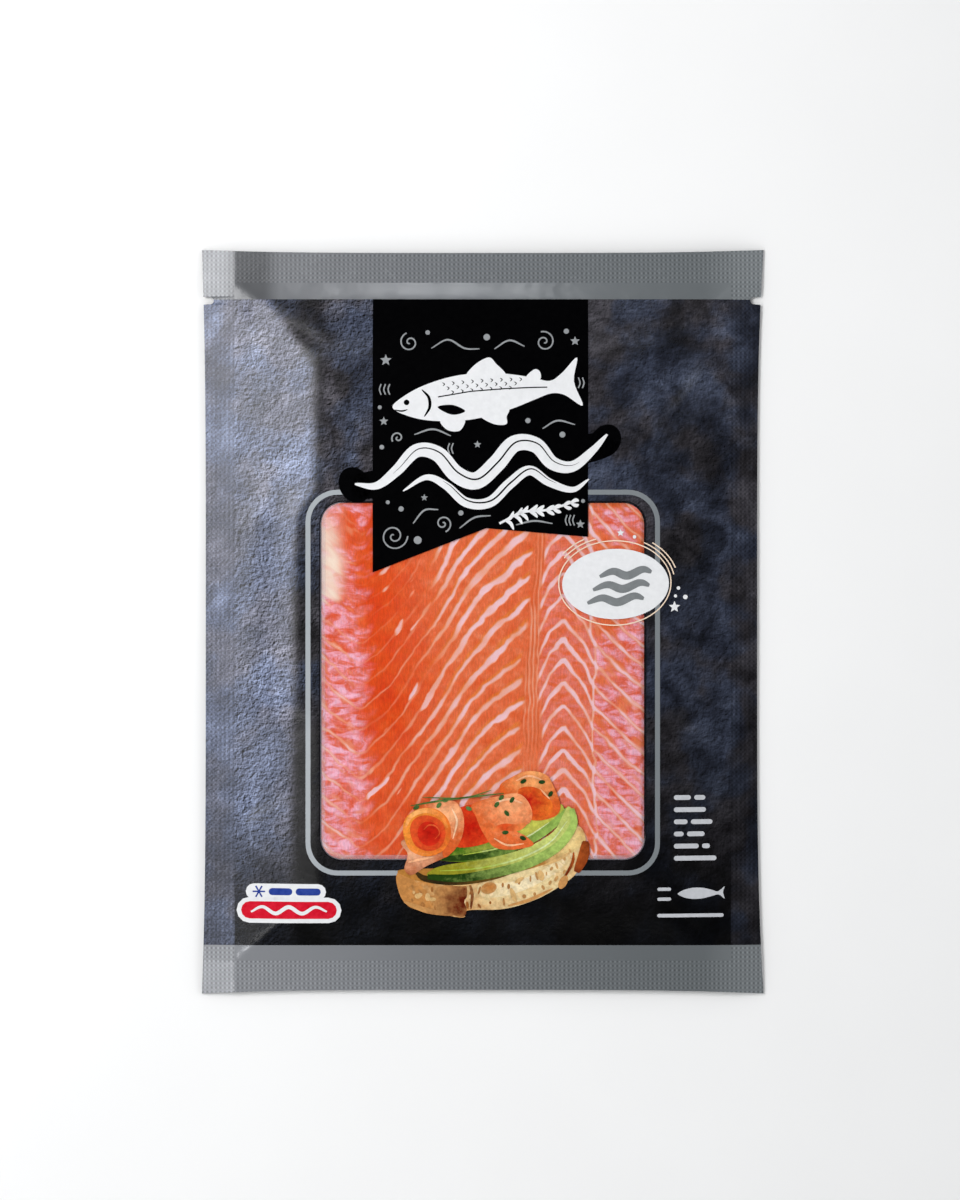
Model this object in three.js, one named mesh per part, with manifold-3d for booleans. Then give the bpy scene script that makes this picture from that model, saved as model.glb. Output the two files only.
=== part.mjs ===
// A flat, heat-sealed pouch of smoked salmon, lying on its back with its printed front up.
// One film pouch with a rounded window in its front, the sliced salmon behind it, and the clear film over the window.
// Millimetres, +Z up out of the front, +Y towards the top of the print, origin under the middle of the pouch.

import * as THREE from 'three';
import { mergeVertices } from 'three/addons/utils/BufferGeometryUtils.js';
import Module from 'manifold-3d';

const wasm = await Module();
wasm.setup();

// The pouch's outline
const PACK_WIDTH = 170;
const PACK_LENGTH = 225;
const PINCH_LEFT = 1.2; // how far the filled pouch draws each edge in, at its middle
const PINCH_RIGHT = 2.0;
const PINCH_TOP = 1.0;
const PINCH_BOTTOM = 1.2;
const PINCH_POWER = 4;

// The seals round it
const SEAL_WIDTH = 10;
const SEAL_THICKNESS = 0.5;
const SEAL_HEIGHT = 2.5; // top of the seal, at its inner edge, above the table
const SIDE_DROOP = 1.3; // how much lower the outer edge lies at the sides
const END_DROOP = 0.5; // and at the ends
const SEAL_WAVES = [
  { across: 24, along: 95, shift: 0.6, height: 0.1 },
  { across: -70, along: 19, shift: 1.9, height: 0.08 },
];

// The filled middle
const FRONT_HEIGHT = 7.0;
const FLAT_HALF_WIDTH = 49.5; // the slab of salmon holds the front flat out to here
const BULGE_LEFT = 6.5; // and this much further to the left of the window
const BULGE_TOP = [42, 30]; // where that bulge begins and is whole
const BULGE_BOTTOM = [-33, -22];
const FLAT_HALF_LENGTH = 80;
const SHOULDER = 0.3; // 0 for a straight slope from seal to slab, 1 for the roundest
const HIP_SOFTNESS = 0.06;
const SLAB_WAVES = [ // unevenness of the slab under the film
  { across: 17, along: 44, shift: 1.1, height: 0.09 },
  { across: 31, along: -21, shift: 0.3, height: 0.1 },
];

// Soft folds in the front: both ends, depth and half width. They start where the front has risen by FOLD_START.
const FOLD_START = 0.17;
const FOLDS = [
  { from: [72, 80], to: [51, 53], depth: 0.9, width: 3.4 },
  { from: [-73, 96], to: [-50, 84], depth: 0.6, width: 3.2 },
  { from: [-74, -58], to: [-59, -50], depth: 0.45, width: 3.0 },
  { from: [74, -34], to: [58, -28], depth: 0.45, width: 3.0 },
  { from: [70, -96], to: [52, -80], depth: 0.5, width: 3.2 },
];

// The tear notches, where the printed band meets the dark print
const NOTCH_DEPTH = 3.1;
const NOTCH_WIDTH = 2.1;
const NOTCH_Y = 97.1;

// The window in the front
const WINDOW_HALF_WIDTH = 48.9;
const WINDOW_TOP = 36.1;
const WINDOW_BOTTOM = -71.7;
const WINDOW_RADIUS = 6.6;
const CORNER_STEPS = 8;

// What lies in and over the window
const BACK_THICKNESS = 0.7;
const FILM_THICKNESS = 0.35;
const GAP = 0.3;
const WELD = 1e-4; // vertices closer than this are one

// The salmon's face: bands of muscle between lines of fat, which run down from the belly edge to a valley, up to
// the lateral line, over a ridge and down again. Each point is the place across and how far the lines have dropped.
const BAND_PITCH = 6.9;
const FAT_LINE_DEPTH = 0.24;
const LOIN_FLOW = [[-60, 30], [-49, 38], [-41.5, 44.7], [-36.8, 48], [-28.3, 40.2], [-19, 26], [-10.2, 13], [-4.8, 5],
  [1.6, -2.4], [8.5, -8.2]];
const BACK_FLOW = [[17, 10.5], [20, 4.2], [24.3, 0], [30.8, 8], [33, 13], [44, 24.2], [60, 38]];
const LATERAL_LINE = 12.8;
const LATERAL_HALF_WIDTH = 4.4;
const SLAB_COLUMNS = 36;
const ROWS_PER_BAND = 3;

// Grid of the pouch: cells across a seal, a slope and the flat middle
const CELLS_ACROSS = [3, 10, 8, 10, 3];
const CELLS_ALONG = [3, 8, 20, 8, 3];

const HALF_WIDTH = PACK_WIDTH / 2;
const HALF_LENGTH = PACK_LENGTH / 2;
const SEAL_X = HALF_WIDTH - SEAL_WIDTH;
const SEAL_Y = HALF_LENGTH - SEAL_WIDTH;
const TALL = 20; // more than any height in the pouch

const clamp = THREE.MathUtils.clamp;
const lerp = THREE.MathUtils.lerp;

// Rises evenly from 0 to 1 with both ends eased, by SHOULDER
function eased(share) {
  const turn = 2 * Math.PI;
  return share - SHOULDER * Math.sin(turn * share) / turn;
}

// The lower of two shares, with the crease between them softened
function softMinimum(a, b) {
  const blend = clamp(0.5 + (b - a) / (2 * HIP_SOFTNESS), 0, 1);
  return lerp(b, a, blend) - HIP_SOFTNESS * blend * (1 - blend);
}

// Rises evenly from 0 at the first of two places to 1 at the second, or falls if the first is the higher
function smoothStep([start, end], place) {
  const share = clamp((place - start) / (end - start), 0, 1);
  return share * share * (3 - 2 * share);
}

// 0 at the seals and 1 over the slab, like a hipped roof with a flat top
function fullness(x, y) {
  const bulge = (x < 0 ? BULGE_LEFT : 0) * smoothStep(BULGE_TOP, y) * smoothStep(BULGE_BOTTOM, y);
  const across = (SEAL_X - Math.abs(x)) / (SEAL_X - FLAT_HALF_WIDTH - bulge);
  const along = (SEAL_Y - Math.abs(y)) / (SEAL_Y - FLAT_HALF_LENGTH);
  return eased(Math.max(softMinimum(softMinimum(across, along), 1), 0));
}

// Slow waves added up; a wave turns by one radian over its lengths across and along
function waveHeight(waves, x, y) {
  return waves.reduce((sum, wave) => {
    return sum + wave.height * Math.sin(x / wave.across + y / wave.along + wave.shift);
  }, 0);
}

// Height of the seals' top: they droop outwards in slow waves
function sealHeight(x, y) {
  const across = clamp((Math.abs(x) - SEAL_X) / SEAL_WIDTH, 0, 1);
  const along = clamp((Math.abs(y) - SEAL_Y) / SEAL_WIDTH, 0, 1);
  const uneven = Math.max(across, along) * waveHeight(SEAL_WAVES, x, y);
  return SEAL_HEIGHT + uneven - SIDE_DROOP * across - END_DROOP * along;
}

// How deep the folds cut into the front at a point
function foldDepth(x, y) {
  return FOLDS.reduce((sum, fold) => {
    const [ax, ay] = fold.from;
    const [bx, by] = fold.to;
    const length = Math.hypot(bx - ax, by - ay);
    const along = ((x - ax) * (bx - ax) + (y - ay) * (by - ay)) / length ** 2;
    const beside = Math.hypot(x - lerp(ax, bx, along), y - lerp(ay, by, along));
    const ends = Math.exp(-((2 * along - 1) ** 4));
    return sum + fold.depth * ends * Math.exp(-((beside / fold.width) ** 2));
  }, 0);
}

function frontHeight(x, y) {
  const full = fullness(x, y);
  const folds = Math.min(1, full / FOLD_START) * foldDepth(x, y);
  return lerp(sealHeight(x, y), FRONT_HEIGHT, full) + full * waveHeight(SLAB_WAVES, x, y) - folds;
}

function backHeight(x, y) {
  return (sealHeight(x, y) - SEAL_THICKNESS) * (1 - fullness(x, y));
}

// Lines of a grid: equal cells in each stretch between the stops
function gridLines(stops, cells) {
  const lines = [stops[0]];
  cells.forEach((count, stretch) => {
    for (let step = 1; step <= count; step += 1) {
      lines.push(lerp(stops[stretch], stops[stretch + 1], step / count));
    }
  });
  return lines;
}

// A box whose faces follow a grid: place(column, row, isTop) says where each of its vertices goes
function sculptedBox(columns, rows, place) {
  const geometry = new THREE.BoxGeometry(2, 2, 2, columns, rows, 1);
  const position = geometry.attributes.position;
  for (let i = 0; i < position.count; i += 1) {
    const column = Math.round((position.getX(i) + 1) / 2 * columns);
    const row = Math.round((position.getY(i) + 1) / 2 * rows);
    position.setXYZ(i, ...place(column, row, position.getZ(i) > 0));
  }
  return geometry;
}

function roundedWindow(inset) {
  const x = WINDOW_HALF_WIDTH - inset;
  const top = WINDOW_TOP - inset;
  const bottom = WINDOW_BOTTOM + inset;
  const radius = WINDOW_RADIUS - inset;
  const shape = new THREE.Shape();
  shape.absarc(x - radius, top - radius, radius, 0, Math.PI / 2);
  shape.absarc(-x + radius, top - radius, radius, Math.PI / 2, Math.PI);
  shape.absarc(-x + radius, bottom + radius, radius, Math.PI, 1.5 * Math.PI);
  shape.absarc(x - radius, bottom + radius, radius, 1.5 * Math.PI, 2 * Math.PI);
  shape.closePath();
  return shape;
}

// A notch with a round end, cut in from the right edge
function notchShape() {
  const radius = NOTCH_WIDTH / 2;
  const end = HALF_WIDTH - NOTCH_DEPTH + radius;
  const shape = new THREE.Shape();
  shape.moveTo(HALF_WIDTH + radius, NOTCH_Y + radius);
  shape.lineTo(end, NOTCH_Y + radius);
  shape.absarc(end, NOTCH_Y, radius, Math.PI / 2, 1.5 * Math.PI);
  shape.lineTo(HALF_WIDTH + radius, NOTCH_Y - radius);
  shape.closePath();
  return shape;
}

function prism(shape, from) {
  const geometry = new THREE.ExtrudeGeometry(shape, {
    depth: TALL,
    bevelEnabled: false,
    curveSegments: CORNER_STEPS,
  });
  return solid(geometry.translate(0, 0, from));
}

// A closed geometry as a solid that can be cut and joined
function solid(geometry) {
  geometry.deleteAttribute('normal');
  geometry.deleteAttribute('uv');
  const merged = mergeVertices(geometry, WELD);
  return new wasm.Manifold(new wasm.Mesh({
    numProp: 3,
    vertProperties: new Float32Array(merged.attributes.position.array),
    triVerts: new Uint32Array(merged.index.array),
  }));
}

function namedMesh(name, body, look) {
  const { vertProperties, triVerts } = body.getMesh();
  const geometry = new THREE.BufferGeometry();
  geometry.setAttribute('position', new THREE.BufferAttribute(vertProperties, 3));
  geometry.setIndex(new THREE.BufferAttribute(triVerts, 1));
  geometry.computeVertexNormals();
  const mesh = new THREE.Mesh(geometry, new THREE.MeshStandardMaterial(look));
  mesh.name = name;
  return mesh;
}

// The outer form of the sealed pouch, filled, without its window
function pillow() {
  const xs = gridLines([-HALF_WIDTH, -SEAL_X, -FLAT_HALF_WIDTH, FLAT_HALF_WIDTH, SEAL_X, HALF_WIDTH], CELLS_ACROSS);
  const ys = gridLines([-HALF_LENGTH, -SEAL_Y, -FLAT_HALF_LENGTH, FLAT_HALF_LENGTH, SEAL_Y, HALF_LENGTH], CELLS_ALONG);
  return solid(sculptedBox(xs.length - 1, ys.length - 1, (column, row, isTop) => {
    const gridX = xs[column];
    const gridY = ys[row];
    const drawnX = (gridX < 0 ? PINCH_LEFT : PINCH_RIGHT) * (1 - Math.abs(gridY / HALF_LENGTH) ** PINCH_POWER);
    const drawnY = (gridY < 0 ? PINCH_BOTTOM : PINCH_TOP) * (1 - Math.abs(gridX / HALF_WIDTH) ** PINCH_POWER);
    const outwardX = clamp((Math.abs(gridX) - SEAL_X) / SEAL_WIDTH, 0, 1);
    const outwardY = clamp((Math.abs(gridY) - SEAL_Y) / SEAL_WIDTH, 0, 1);
    const x = gridX - Math.sign(gridX) * outwardX * drawnX;
    const y = gridY - Math.sign(gridY) * outwardY * drawnY;
    return [x, y, isTop ? frontHeight(gridX, gridY) : backHeight(gridX, gridY)];
  }));
}

// How far the fat lines have dropped at a place across the fillet
function flowDrop(x) {
  const points = x < LATERAL_LINE ? LOIN_FLOW : BACK_FLOW;
  const after = points.findIndex(([px]) => px > x);
  if (after < 1) return points[after < 0 ? points.length - 1 : 0][1];
  const [x0, drop0] = points[after - 1];
  const [x1, drop1] = points[after];
  return lerp(drop0, drop1, (x - x0) / (x1 - x0));
}

// The slab of slices, its face in bands that follow the lines of fat
function salmonSlab() {
  const reach = WINDOW_HALF_WIDTH + GAP;
  const mostDrop = Math.max(...LOIN_FLOW.map(([, drop]) => drop));
  const leastDrop = Math.min(...LOIN_FLOW.map(([, drop]) => drop));
  const lowest = WINDOW_BOTTOM + leastDrop - 2 * BAND_PITCH;
  const rows = ROWS_PER_BAND * Math.ceil((WINDOW_TOP + mostDrop - lowest) / BAND_PITCH + 2);
  return solid(sculptedBox(SLAB_COLUMNS, rows, (column, row, isTop) => {
    const x = lerp(-reach, reach, column / SLAB_COLUMNS);
    const y = lowest + row * BAND_PITCH / ROWS_PER_BAND - flowDrop(x);
    const onLine = row % ROWS_PER_BAND === 0;
    const besideLateral = Math.abs(x - LATERAL_LINE) > LATERAL_HALF_WIDTH;
    const groove = onLine && besideLateral ? FAT_LINE_DEPTH : 0;
    const top = frontHeight(x, y) - FILM_THICKNESS - GAP - groove;
    return [x, y, isTop ? top : 0];
  }));
}

function pouch(form) {
  const notch = prism(notchShape(), -1);
  return form
    .subtract(prism(roundedWindow(0), BACK_THICKNESS))
    .subtract(notch)
    .subtract(notch.mirror([1, 0, 0]));
}

// The front's own skin, where the print leaves it clear
function windowFilm(form) {
  return form
    .intersect(prism(roundedWindow(GAP), BACK_THICKNESS + GAP))
    .subtract(form.translate([0, 0, -FILM_THICKNESS]));
}

const form = pillow();
const pack = new THREE.Group();
pack.add(namedMesh('pouch', pouch(form), { color: 0x3a3d47, roughness: 0.38, metalness: 0.0 }));
pack.add(namedMesh('salmon', salmonSlab().intersect(prism(roundedWindow(GAP), BACK_THICKNESS + GAP)),
  { color: 0xe4622f, roughness: 0.45, metalness: 0.0 }));
pack.add(namedMesh('window_film', windowFilm(form),
  { color: 0xf2f4f5, roughness: 0.12, metalness: 0.0, transparent: true, opacity: 0.2 }));

export default pack;
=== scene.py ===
"""The looks of a flat, heat-sealed pouch of smoked salmon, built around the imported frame.

Shapes are worked out in millimetres, in the frame's axes: x to the right of the print, y to its top, z up.
"""

import math

import bpy
import numpy as np
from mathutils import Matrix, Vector
from mathutils.geometry import delaunay_2d_cdt

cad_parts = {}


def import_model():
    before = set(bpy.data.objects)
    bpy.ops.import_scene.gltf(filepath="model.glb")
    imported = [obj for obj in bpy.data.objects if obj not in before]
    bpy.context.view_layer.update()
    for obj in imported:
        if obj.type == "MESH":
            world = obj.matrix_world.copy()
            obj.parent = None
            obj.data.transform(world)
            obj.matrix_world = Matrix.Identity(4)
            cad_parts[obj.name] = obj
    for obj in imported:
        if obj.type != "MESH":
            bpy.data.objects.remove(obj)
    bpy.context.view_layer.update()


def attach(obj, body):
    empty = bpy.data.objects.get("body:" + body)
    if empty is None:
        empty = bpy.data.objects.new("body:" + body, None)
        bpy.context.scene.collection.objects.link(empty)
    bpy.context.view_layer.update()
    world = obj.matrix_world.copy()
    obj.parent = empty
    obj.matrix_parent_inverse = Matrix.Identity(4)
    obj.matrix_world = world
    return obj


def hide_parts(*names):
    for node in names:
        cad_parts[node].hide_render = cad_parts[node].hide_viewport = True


MM = 0.001
TURN = 2 * math.pi
SHARP_ANGLE = math.radians(50)
TINY = 1e-6

# The pouch, as the frame has it
PACK_WIDTH = 170
PACK_LENGTH = 225
PINCH_LEFT = 1.2
PINCH_RIGHT = 2.0
PINCH_TOP = 1.0
PINCH_BOTTOM = 1.2
PINCH_POWER = 4
SEAL_WIDTH = 10
SEAL_HEIGHT = 2.5
SIDE_DROOP = 1.3
END_DROOP = 0.5
SEAL_WAVES = ((24, 95, 0.6, 0.1), (-70, 19, 1.9, 0.08))
FRONT_HEIGHT = 7.0
FLAT_HALF_WIDTH = 49.5
BULGE_LEFT = 6.5
BULGE_TOP = (42, 30)
BULGE_BOTTOM = (-33, -22)
FLAT_HALF_LENGTH = 80
SHOULDER = 0.3
HIP_SOFTNESS = 0.06
CREASE = ((-49.2, 76.7), (-62.8, 97.2))
SLAB_WAVES = ((17, 44, 1.1, 0.09), (31, -21, 0.3, 0.1))
FOLD_START = 0.17
FOLDS = (
    ((72, 80), (51, 53), 0.9, 3.4),
    ((-73, 96), (-50, 84), 0.6, 3.2),
    ((-74, -58), (-59, -50), 0.45, 3.0),
    ((74, -34), (58, -28), 0.45, 3.0),
    ((70, -96), (52, -80), 0.5, 3.2),
)
NOTCH_DEPTH = 3.1
NOTCH_RADIUS = 1.05
NOTCH_FLARE = 0.15
NOTCH_Y = 97.1
NOTCH_ROWS = 13
WINDOW_HALF_WIDTH = 48.9
WINDOW_TOP = 36.1
WINDOW_BOTTOM = -71.7
WINDOW_RADIUS = 6.6
WINDOW_CELL = 2.5
GAP = 0.3

HALF_WIDTH = PACK_WIDTH / 2
HALF_LENGTH = PACK_LENGTH / 2
SEAL_X = HALF_WIDTH - SEAL_WIDTH
SEAL_Y = HALF_LENGTH - SEAL_WIDTH

# The crimped seals: rows of staggered studs, four grid steps to a stud
CRIMP_STEPS = 30
CRIMP_STEP = SEAL_WIDTH / CRIMP_STEPS
CRIMP_PITCH = 4 * CRIMP_STEP
CRIMP_HEIGHT = 0.05
CRIMP_FADE = 0.6
LAMINATE = 0.35

# The print
BAND_TOP = 97.4
BAND_BOTTOM = -97.7
INK_LIFT = 0.035
PICTURE_BASE = 2.4
PICTURE_STEP = 0.6
PICTURE_GRAIN = 0.2
FRAME_LINE = (53.4, 39.8, -76.4, 9.7)
FRAME_LINE_WIDTH = 1.5
WINDOW_LIP = 0.35
EDGE_HIGHLIGHT_WIDTH = 1.5
EDGE_HIGHLIGHT_INSET = 0.02
BAND_METAL = 0.1
# Painted light on the left slope's print, and how light the underside is kept
SLOPE_LIGHT = 2.55
UNDERSIDE_LIGHT = 0.8
SEAL_SMOOTHING = 0.5
SEAL_DARKENING = 0.14
# Painted shade between the seals' studs and painted light on their tops
STUD_SHADE = (0.26, 0.18)

# The photograph: its frame in pixels, the millimetres in a pixel, and where the pack's centre is
PHOTO_WIDTH = 960
PHOTO_HEIGHT = 1200
PHOTO_SCALE = PACK_WIDTH / 562.5
PACK_CENTRE_PX = (482.75, 621.75)
CAMERA_HEIGHT = 1300
SENSOR = 36
STUDIO_LIGHT = 1.17
FLOOR_SIZE = 4
FLOOR_GAP = 0.2
LAMP_LEVEL = 0.66


def interpolate(low, high, share):
    return low + (high - low) * share


def smooth_step(low, high, value):
    share = np.clip((value - low) / (high - low), 0, 1)
    return share * share * (3 - 2 * share)


def noise(x, y, cell, seed):
    """Smooth random field between -1 and 1, with cells of that size."""
    random = np.random.default_rng(seed)
    lattice = random.uniform(-1, 1, (256, 256))
    column, row = np.floor(x / cell), np.floor(y / cell)
    across, along = x / cell - column, y / cell - row
    across = across * across * (3 - 2 * across)
    along = along * along * (3 - 2 * along)
    i, j = column.astype(int) % 256, row.astype(int) % 256
    k, m = (i + 1) % 256, (j + 1) % 256
    low = interpolate(lattice[j, i], lattice[j, k], across)
    high = interpolate(lattice[m, i], lattice[m, k], across)
    return interpolate(low, high, along)


# The form of the pouch

def eased(share):
    return share - SHOULDER * np.sin(TURN * share) / TURN


def soft_minimum(a, b):
    mix = np.clip(0.5 + (b - a) / (2 * HIP_SOFTNESS), 0, 1)
    return interpolate(b, a, mix) - HIP_SOFTNESS * mix * (1 - mix)


def bulge(x, y):
    """How much further out the slab holds the front flat, to the left of the window."""
    return np.where(x < 0, BULGE_LEFT, 0) * smooth_step(*BULGE_TOP, y) * smooth_step(*BULGE_BOTTOM, y)


def fullness(x, y):
    across = (SEAL_X - np.abs(x)) / (SEAL_X - FLAT_HALF_WIDTH - bulge(x, y))
    along = (SEAL_Y - np.abs(y)) / (SEAL_Y - FLAT_HALF_LENGTH)
    return eased(np.maximum(soft_minimum(soft_minimum(across, along), 1), 0))


def waves(table, x, y):
    """Low waves, each with its lengths across and along, its shift and its height."""
    return sum(height * np.sin(x / across + y / along + shift) for across, along, shift, height in table)


def seal_height(x, y):
    across = np.clip((np.abs(x) - SEAL_X) / SEAL_WIDTH, 0, 1)
    along = np.clip((np.abs(y) - SEAL_Y) / SEAL_WIDTH, 0, 1)
    uneven = np.maximum(across, along) * waves(SEAL_WAVES, x, y)
    return SEAL_HEIGHT + uneven - SIDE_DROOP * across - END_DROOP * along


def fold_depth(x, y):
    """Soft folds, each a line from one point to another with a depth and a width."""
    total = 0
    for (ax, ay), (bx, by), depth, width in FOLDS:
        length = math.hypot(bx - ax, by - ay)
        along = ((x - ax) * (bx - ax) + (y - ay) * (by - ay)) / length ** 2
        beside = np.hypot(x - interpolate(ax, bx, along), y - interpolate(ay, by, along))
        total = total + depth * np.exp(-((2 * along - 1) ** 4)) * np.exp(-((beside / width) ** 2))
    return total


def front_height(x, y):
    full = fullness(x, y)
    folds = np.minimum(1, full / FOLD_START) * fold_depth(x, y)
    return interpolate(seal_height(x, y), FRONT_HEIGHT, full) + full * waves(SLAB_WAVES, x, y) - folds


def back_height(x, y):
    return (seal_height(x, y) - LAMINATE) * (1 - fullness(x, y))


def crimp(x, y):
    """Height of the studs pressed into the seals."""
    beyond = np.maximum(np.abs(x) - SEAL_X, np.abs(y) - SEAL_Y)
    studs = np.cos(TURN * (x - SEAL_X) / CRIMP_PITCH) * np.cos(TURN * (y - SEAL_Y) / CRIMP_PITCH)
    return CRIMP_HEIGHT * studs * smooth_step(0, CRIMP_FADE, beyond)


def drawn_in(x, y):
    """Where a point of the even outline lies once the filling has drawn the edges in."""
    pinch_x = np.where(x < 0, PINCH_LEFT, PINCH_RIGHT) * (1 - np.abs(y / HALF_LENGTH) ** PINCH_POWER)
    pinch_y = np.where(y < 0, PINCH_BOTTOM, PINCH_TOP) * (1 - np.abs(x / HALF_WIDTH) ** PINCH_POWER)
    outward_x = np.clip((np.abs(x) - SEAL_X) / SEAL_WIDTH, 0, 1)
    outward_y = np.clip((np.abs(y) - SEAL_Y) / SEAL_WIDTH, 0, 1)
    return x - np.sign(x) * outward_x * pinch_x, y - np.sign(y) * outward_y * pinch_y


# Meshes

def mesh_object(name, vertices, faces, material):
    mesh = bpy.data.meshes.new(name)
    mesh.from_pydata((np.asarray(vertices) * MM).tolist(), [], np.asarray(faces).tolist())
    mesh.validate()
    mesh.polygons.foreach_set("use_smooth", [True] * len(mesh.polygons))
    mesh.set_sharp_from_angle(angle=SHARP_ANGLE)
    mesh.materials.append(material)
    piece = bpy.data.objects.new(name, mesh)
    bpy.context.scene.collection.objects.link(piece)
    return piece


def place(piece, node, slot):
    """The piece rides on the pouch's one body and stands for one of its solids."""
    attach(piece, "root")
    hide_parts(node)
    return piece


def grid_quads(rows, columns, wrap=False):
    index = np.arange(rows * columns).reshape(rows, columns)
    if wrap:
        index = np.concatenate([index, index[:, :1]], axis=1)
    corners = (index[:-1, :-1], index[:-1, 1:], index[1:, 1:], index[1:, :-1])
    return np.stack(corners, -1).reshape(-1, 4)


def grid_rim(rows, columns):
    index = np.arange(rows * columns).reshape(rows, columns)
    return np.concatenate([index[0], index[1:, -1], index[-1, -2::-1], index[-2:0:-1, 0]])


def slab(name, top, bottom, material):
    """A closed thin piece between two grids of points."""
    rows, columns = top.shape[:2]
    count = rows * columns
    upper = grid_quads(rows, columns)
    rim = grid_rim(rows, columns)
    after = np.roll(rim, -1)
    walls = np.stack([after, rim, rim + count, after + count], -1)
    vertices = np.concatenate([top.reshape(-1, 3), bottom.reshape(-1, 3)])
    return mesh_object(name, vertices, np.concatenate([upper, upper[:, ::-1] + count, walls]), material)


def skirted(name, top, foot, material):
    """A sheet over a grid of points, with walls down to a level all round."""
    rows, columns = top.shape[:2]
    rim = grid_rim(rows, columns)
    below = rows * columns + np.arange(len(rim))
    walls = np.stack([np.roll(rim, -1), rim, below, np.roll(below, -1)], -1)
    points = top.reshape(-1, 3)
    feet = points[rim] * (1, 1, 0) + (0, 0, foot)
    faces = np.concatenate([grid_quads(rows, columns), walls])
    return mesh_object(name, np.concatenate([points, feet]), faces, material), rim


def seal_surfaces(x, y, x_out=None):
    """The crimped front and back of a seal, over points of the even outline."""
    drawn_x, drawn_y = drawn_in(x, y)
    drawn_x = drawn_x if x_out is None else x_out
    height = seal_height(x, y) + crimp(x, y)
    top = np.stack([drawn_x, drawn_y, height], -1)
    bottom = np.stack([drawn_x, drawn_y, height - LAMINATE], -1)
    return top, bottom


def notch_depth(y):
    """How far a tear notch reaches in at each row of a side seal."""
    off = np.abs(y - NOTCH_Y)
    straight = NOTCH_DEPTH - NOTCH_RADIUS
    rounded = straight + np.sqrt(np.maximum(NOTCH_RADIUS ** 2 - off ** 2, 0))
    flare = straight * np.clip((NOTCH_RADIUS + NOTCH_FLARE - off) / NOTCH_FLARE, 0, 1)
    return np.where(off <= NOTCH_RADIUS, rounded, flare)


def side_seal(name, side, material):
    rows = np.arange(-HALF_LENGTH, HALF_LENGTH + CRIMP_STEP / 2, CRIMP_STEP)
    bend = NOTCH_RADIUS * np.sin(np.linspace(-TURN / 4, TURN / 4, NOTCH_ROWS))
    mouth = NOTCH_RADIUS + NOTCH_FLARE
    rows = rows[np.abs(rows - NOTCH_Y) > mouth + CRIMP_STEP / 4]
    rows = np.sort(np.concatenate([rows, NOTCH_Y + bend, [NOTCH_Y - mouth, NOTCH_Y + mouth]]))
    share = np.linspace(0, 1, CRIMP_STEPS + 1)
    share = share if side > 0 else 1 - share
    grid_share, y = np.meshgrid(share, rows)
    x = side * (SEAL_X + SEAL_WIDTH * grid_share)
    edge, _ = drawn_in(side * HALF_WIDTH * np.ones_like(y), y)
    cut = edge - side * notch_depth(y)
    top, bottom = seal_surfaces(x, y, x_out=interpolate(side * SEAL_X, cut, grid_share))
    return place(slab(name, top, bottom, material), "pouch", "pouch_film")


def end_seal(name, side, material):
    columns = np.arange(-SEAL_X, SEAL_X + CRIMP_STEP / 2, CRIMP_STEP)
    rows = SEAL_Y + np.linspace(0, SEAL_WIDTH, CRIMP_STEPS + 1)
    x, y = np.meshgrid(columns, rows if side > 0 else -rows[::-1])
    top, bottom = seal_surfaces(x, y)
    return place(slab(name, top, bottom, material), "pouch", "pouch_film")


def rounded_corners(half_width, top, bottom, radius, straight, bend):
    """A rounded rectangle's outline, counter-clockwise, with that many steps on each side and corner."""
    centres = ((half_width - radius, top - radius), (radius - half_width, top - radius),
               (radius - half_width, bottom + radius), (half_width - radius, bottom + radius))
    points = []
    for quarter, (cx, cy) in enumerate(centres):
        angles = np.linspace(quarter, quarter + 1, bend + 1) * TURN / 4
        arc = np.stack([cx + radius * np.cos(angles), cy + radius * np.sin(angles)], -1)
        after = centres[(quarter + 1) % 4]
        end = np.array(after) + radius * np.array([math.cos(angles[-1]), math.sin(angles[-1])])
        count = straight[quarter % 2]
        side = interpolate(arc[-1], end, np.linspace(0, 1, count + 1)[1:-1, None])
        points += [arc, side]
    return np.concatenate(points)


def front_panel(material):
    """The printed front between the seals, with the window left out of it."""
    straight, bend, rings = (72, 84), 16, 56
    inner = rounded_corners(WINDOW_HALF_WIDTH, WINDOW_TOP, WINDOW_BOTTOM, WINDOW_RADIUS, straight, bend)
    # The outer corners are worked out round, and then drawn out to square ones
    reach = 13
    outer = rounded_corners(SEAL_X + TINY, SEAL_Y, -SEAL_Y, reach, straight, bend)
    centre = np.array([SEAL_X - reach, SEAL_Y - reach])
    round_part = (np.abs(outer) > centre).all(axis=1)
    offset = (np.abs(outer[round_part]) - centre) / reach
    offset = offset / offset.max(axis=1, keepdims=True)
    outer[round_part] = np.sign(outer[round_part]) * (centre + reach * offset)
    share = np.linspace(0, 1, rings + 1)[:, None, None]
    flat = interpolate(inner[None], outer[None], share)
    x, y = flat[..., 0], flat[..., 1]
    points = np.stack([x, y, front_height(x, y)], -1).reshape(-1, 3)
    quads = grid_quads(rings + 1, len(inner), wrap=True)[:, ::-1]
    return place(mesh_object("front_print", points, quads, material), "pouch", "pouch_film")


def back_panel(material):
    columns, rows = 91, 121
    x, y = np.meshgrid(np.linspace(-SEAL_X, SEAL_X, columns), np.linspace(-SEAL_Y, SEAL_Y, rows))
    points = np.stack([x, y, back_height(x, y)], -1).reshape(-1, 3)
    quads = grid_quads(*x.shape)[:, ::-1]
    return place(mesh_object("back_print", points, quads, material), "pouch", "pouch_film")


def inside(points, loop):
    """Which points lie inside a closed loop."""
    x, y = points[:, :1], points[:, 1:]
    ax, ay = loop[:, 0], loop[:, 1]
    bx, by = np.roll(ax, -1), np.roll(ay, -1)
    crosses = (ay > y) != (by > y)
    rise = np.where(by == ay, 1, by - ay)
    return (crosses & (x < ax + (bx - ax) * (y - ay) / rise)).sum(axis=1) % 2 == 1


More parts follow.
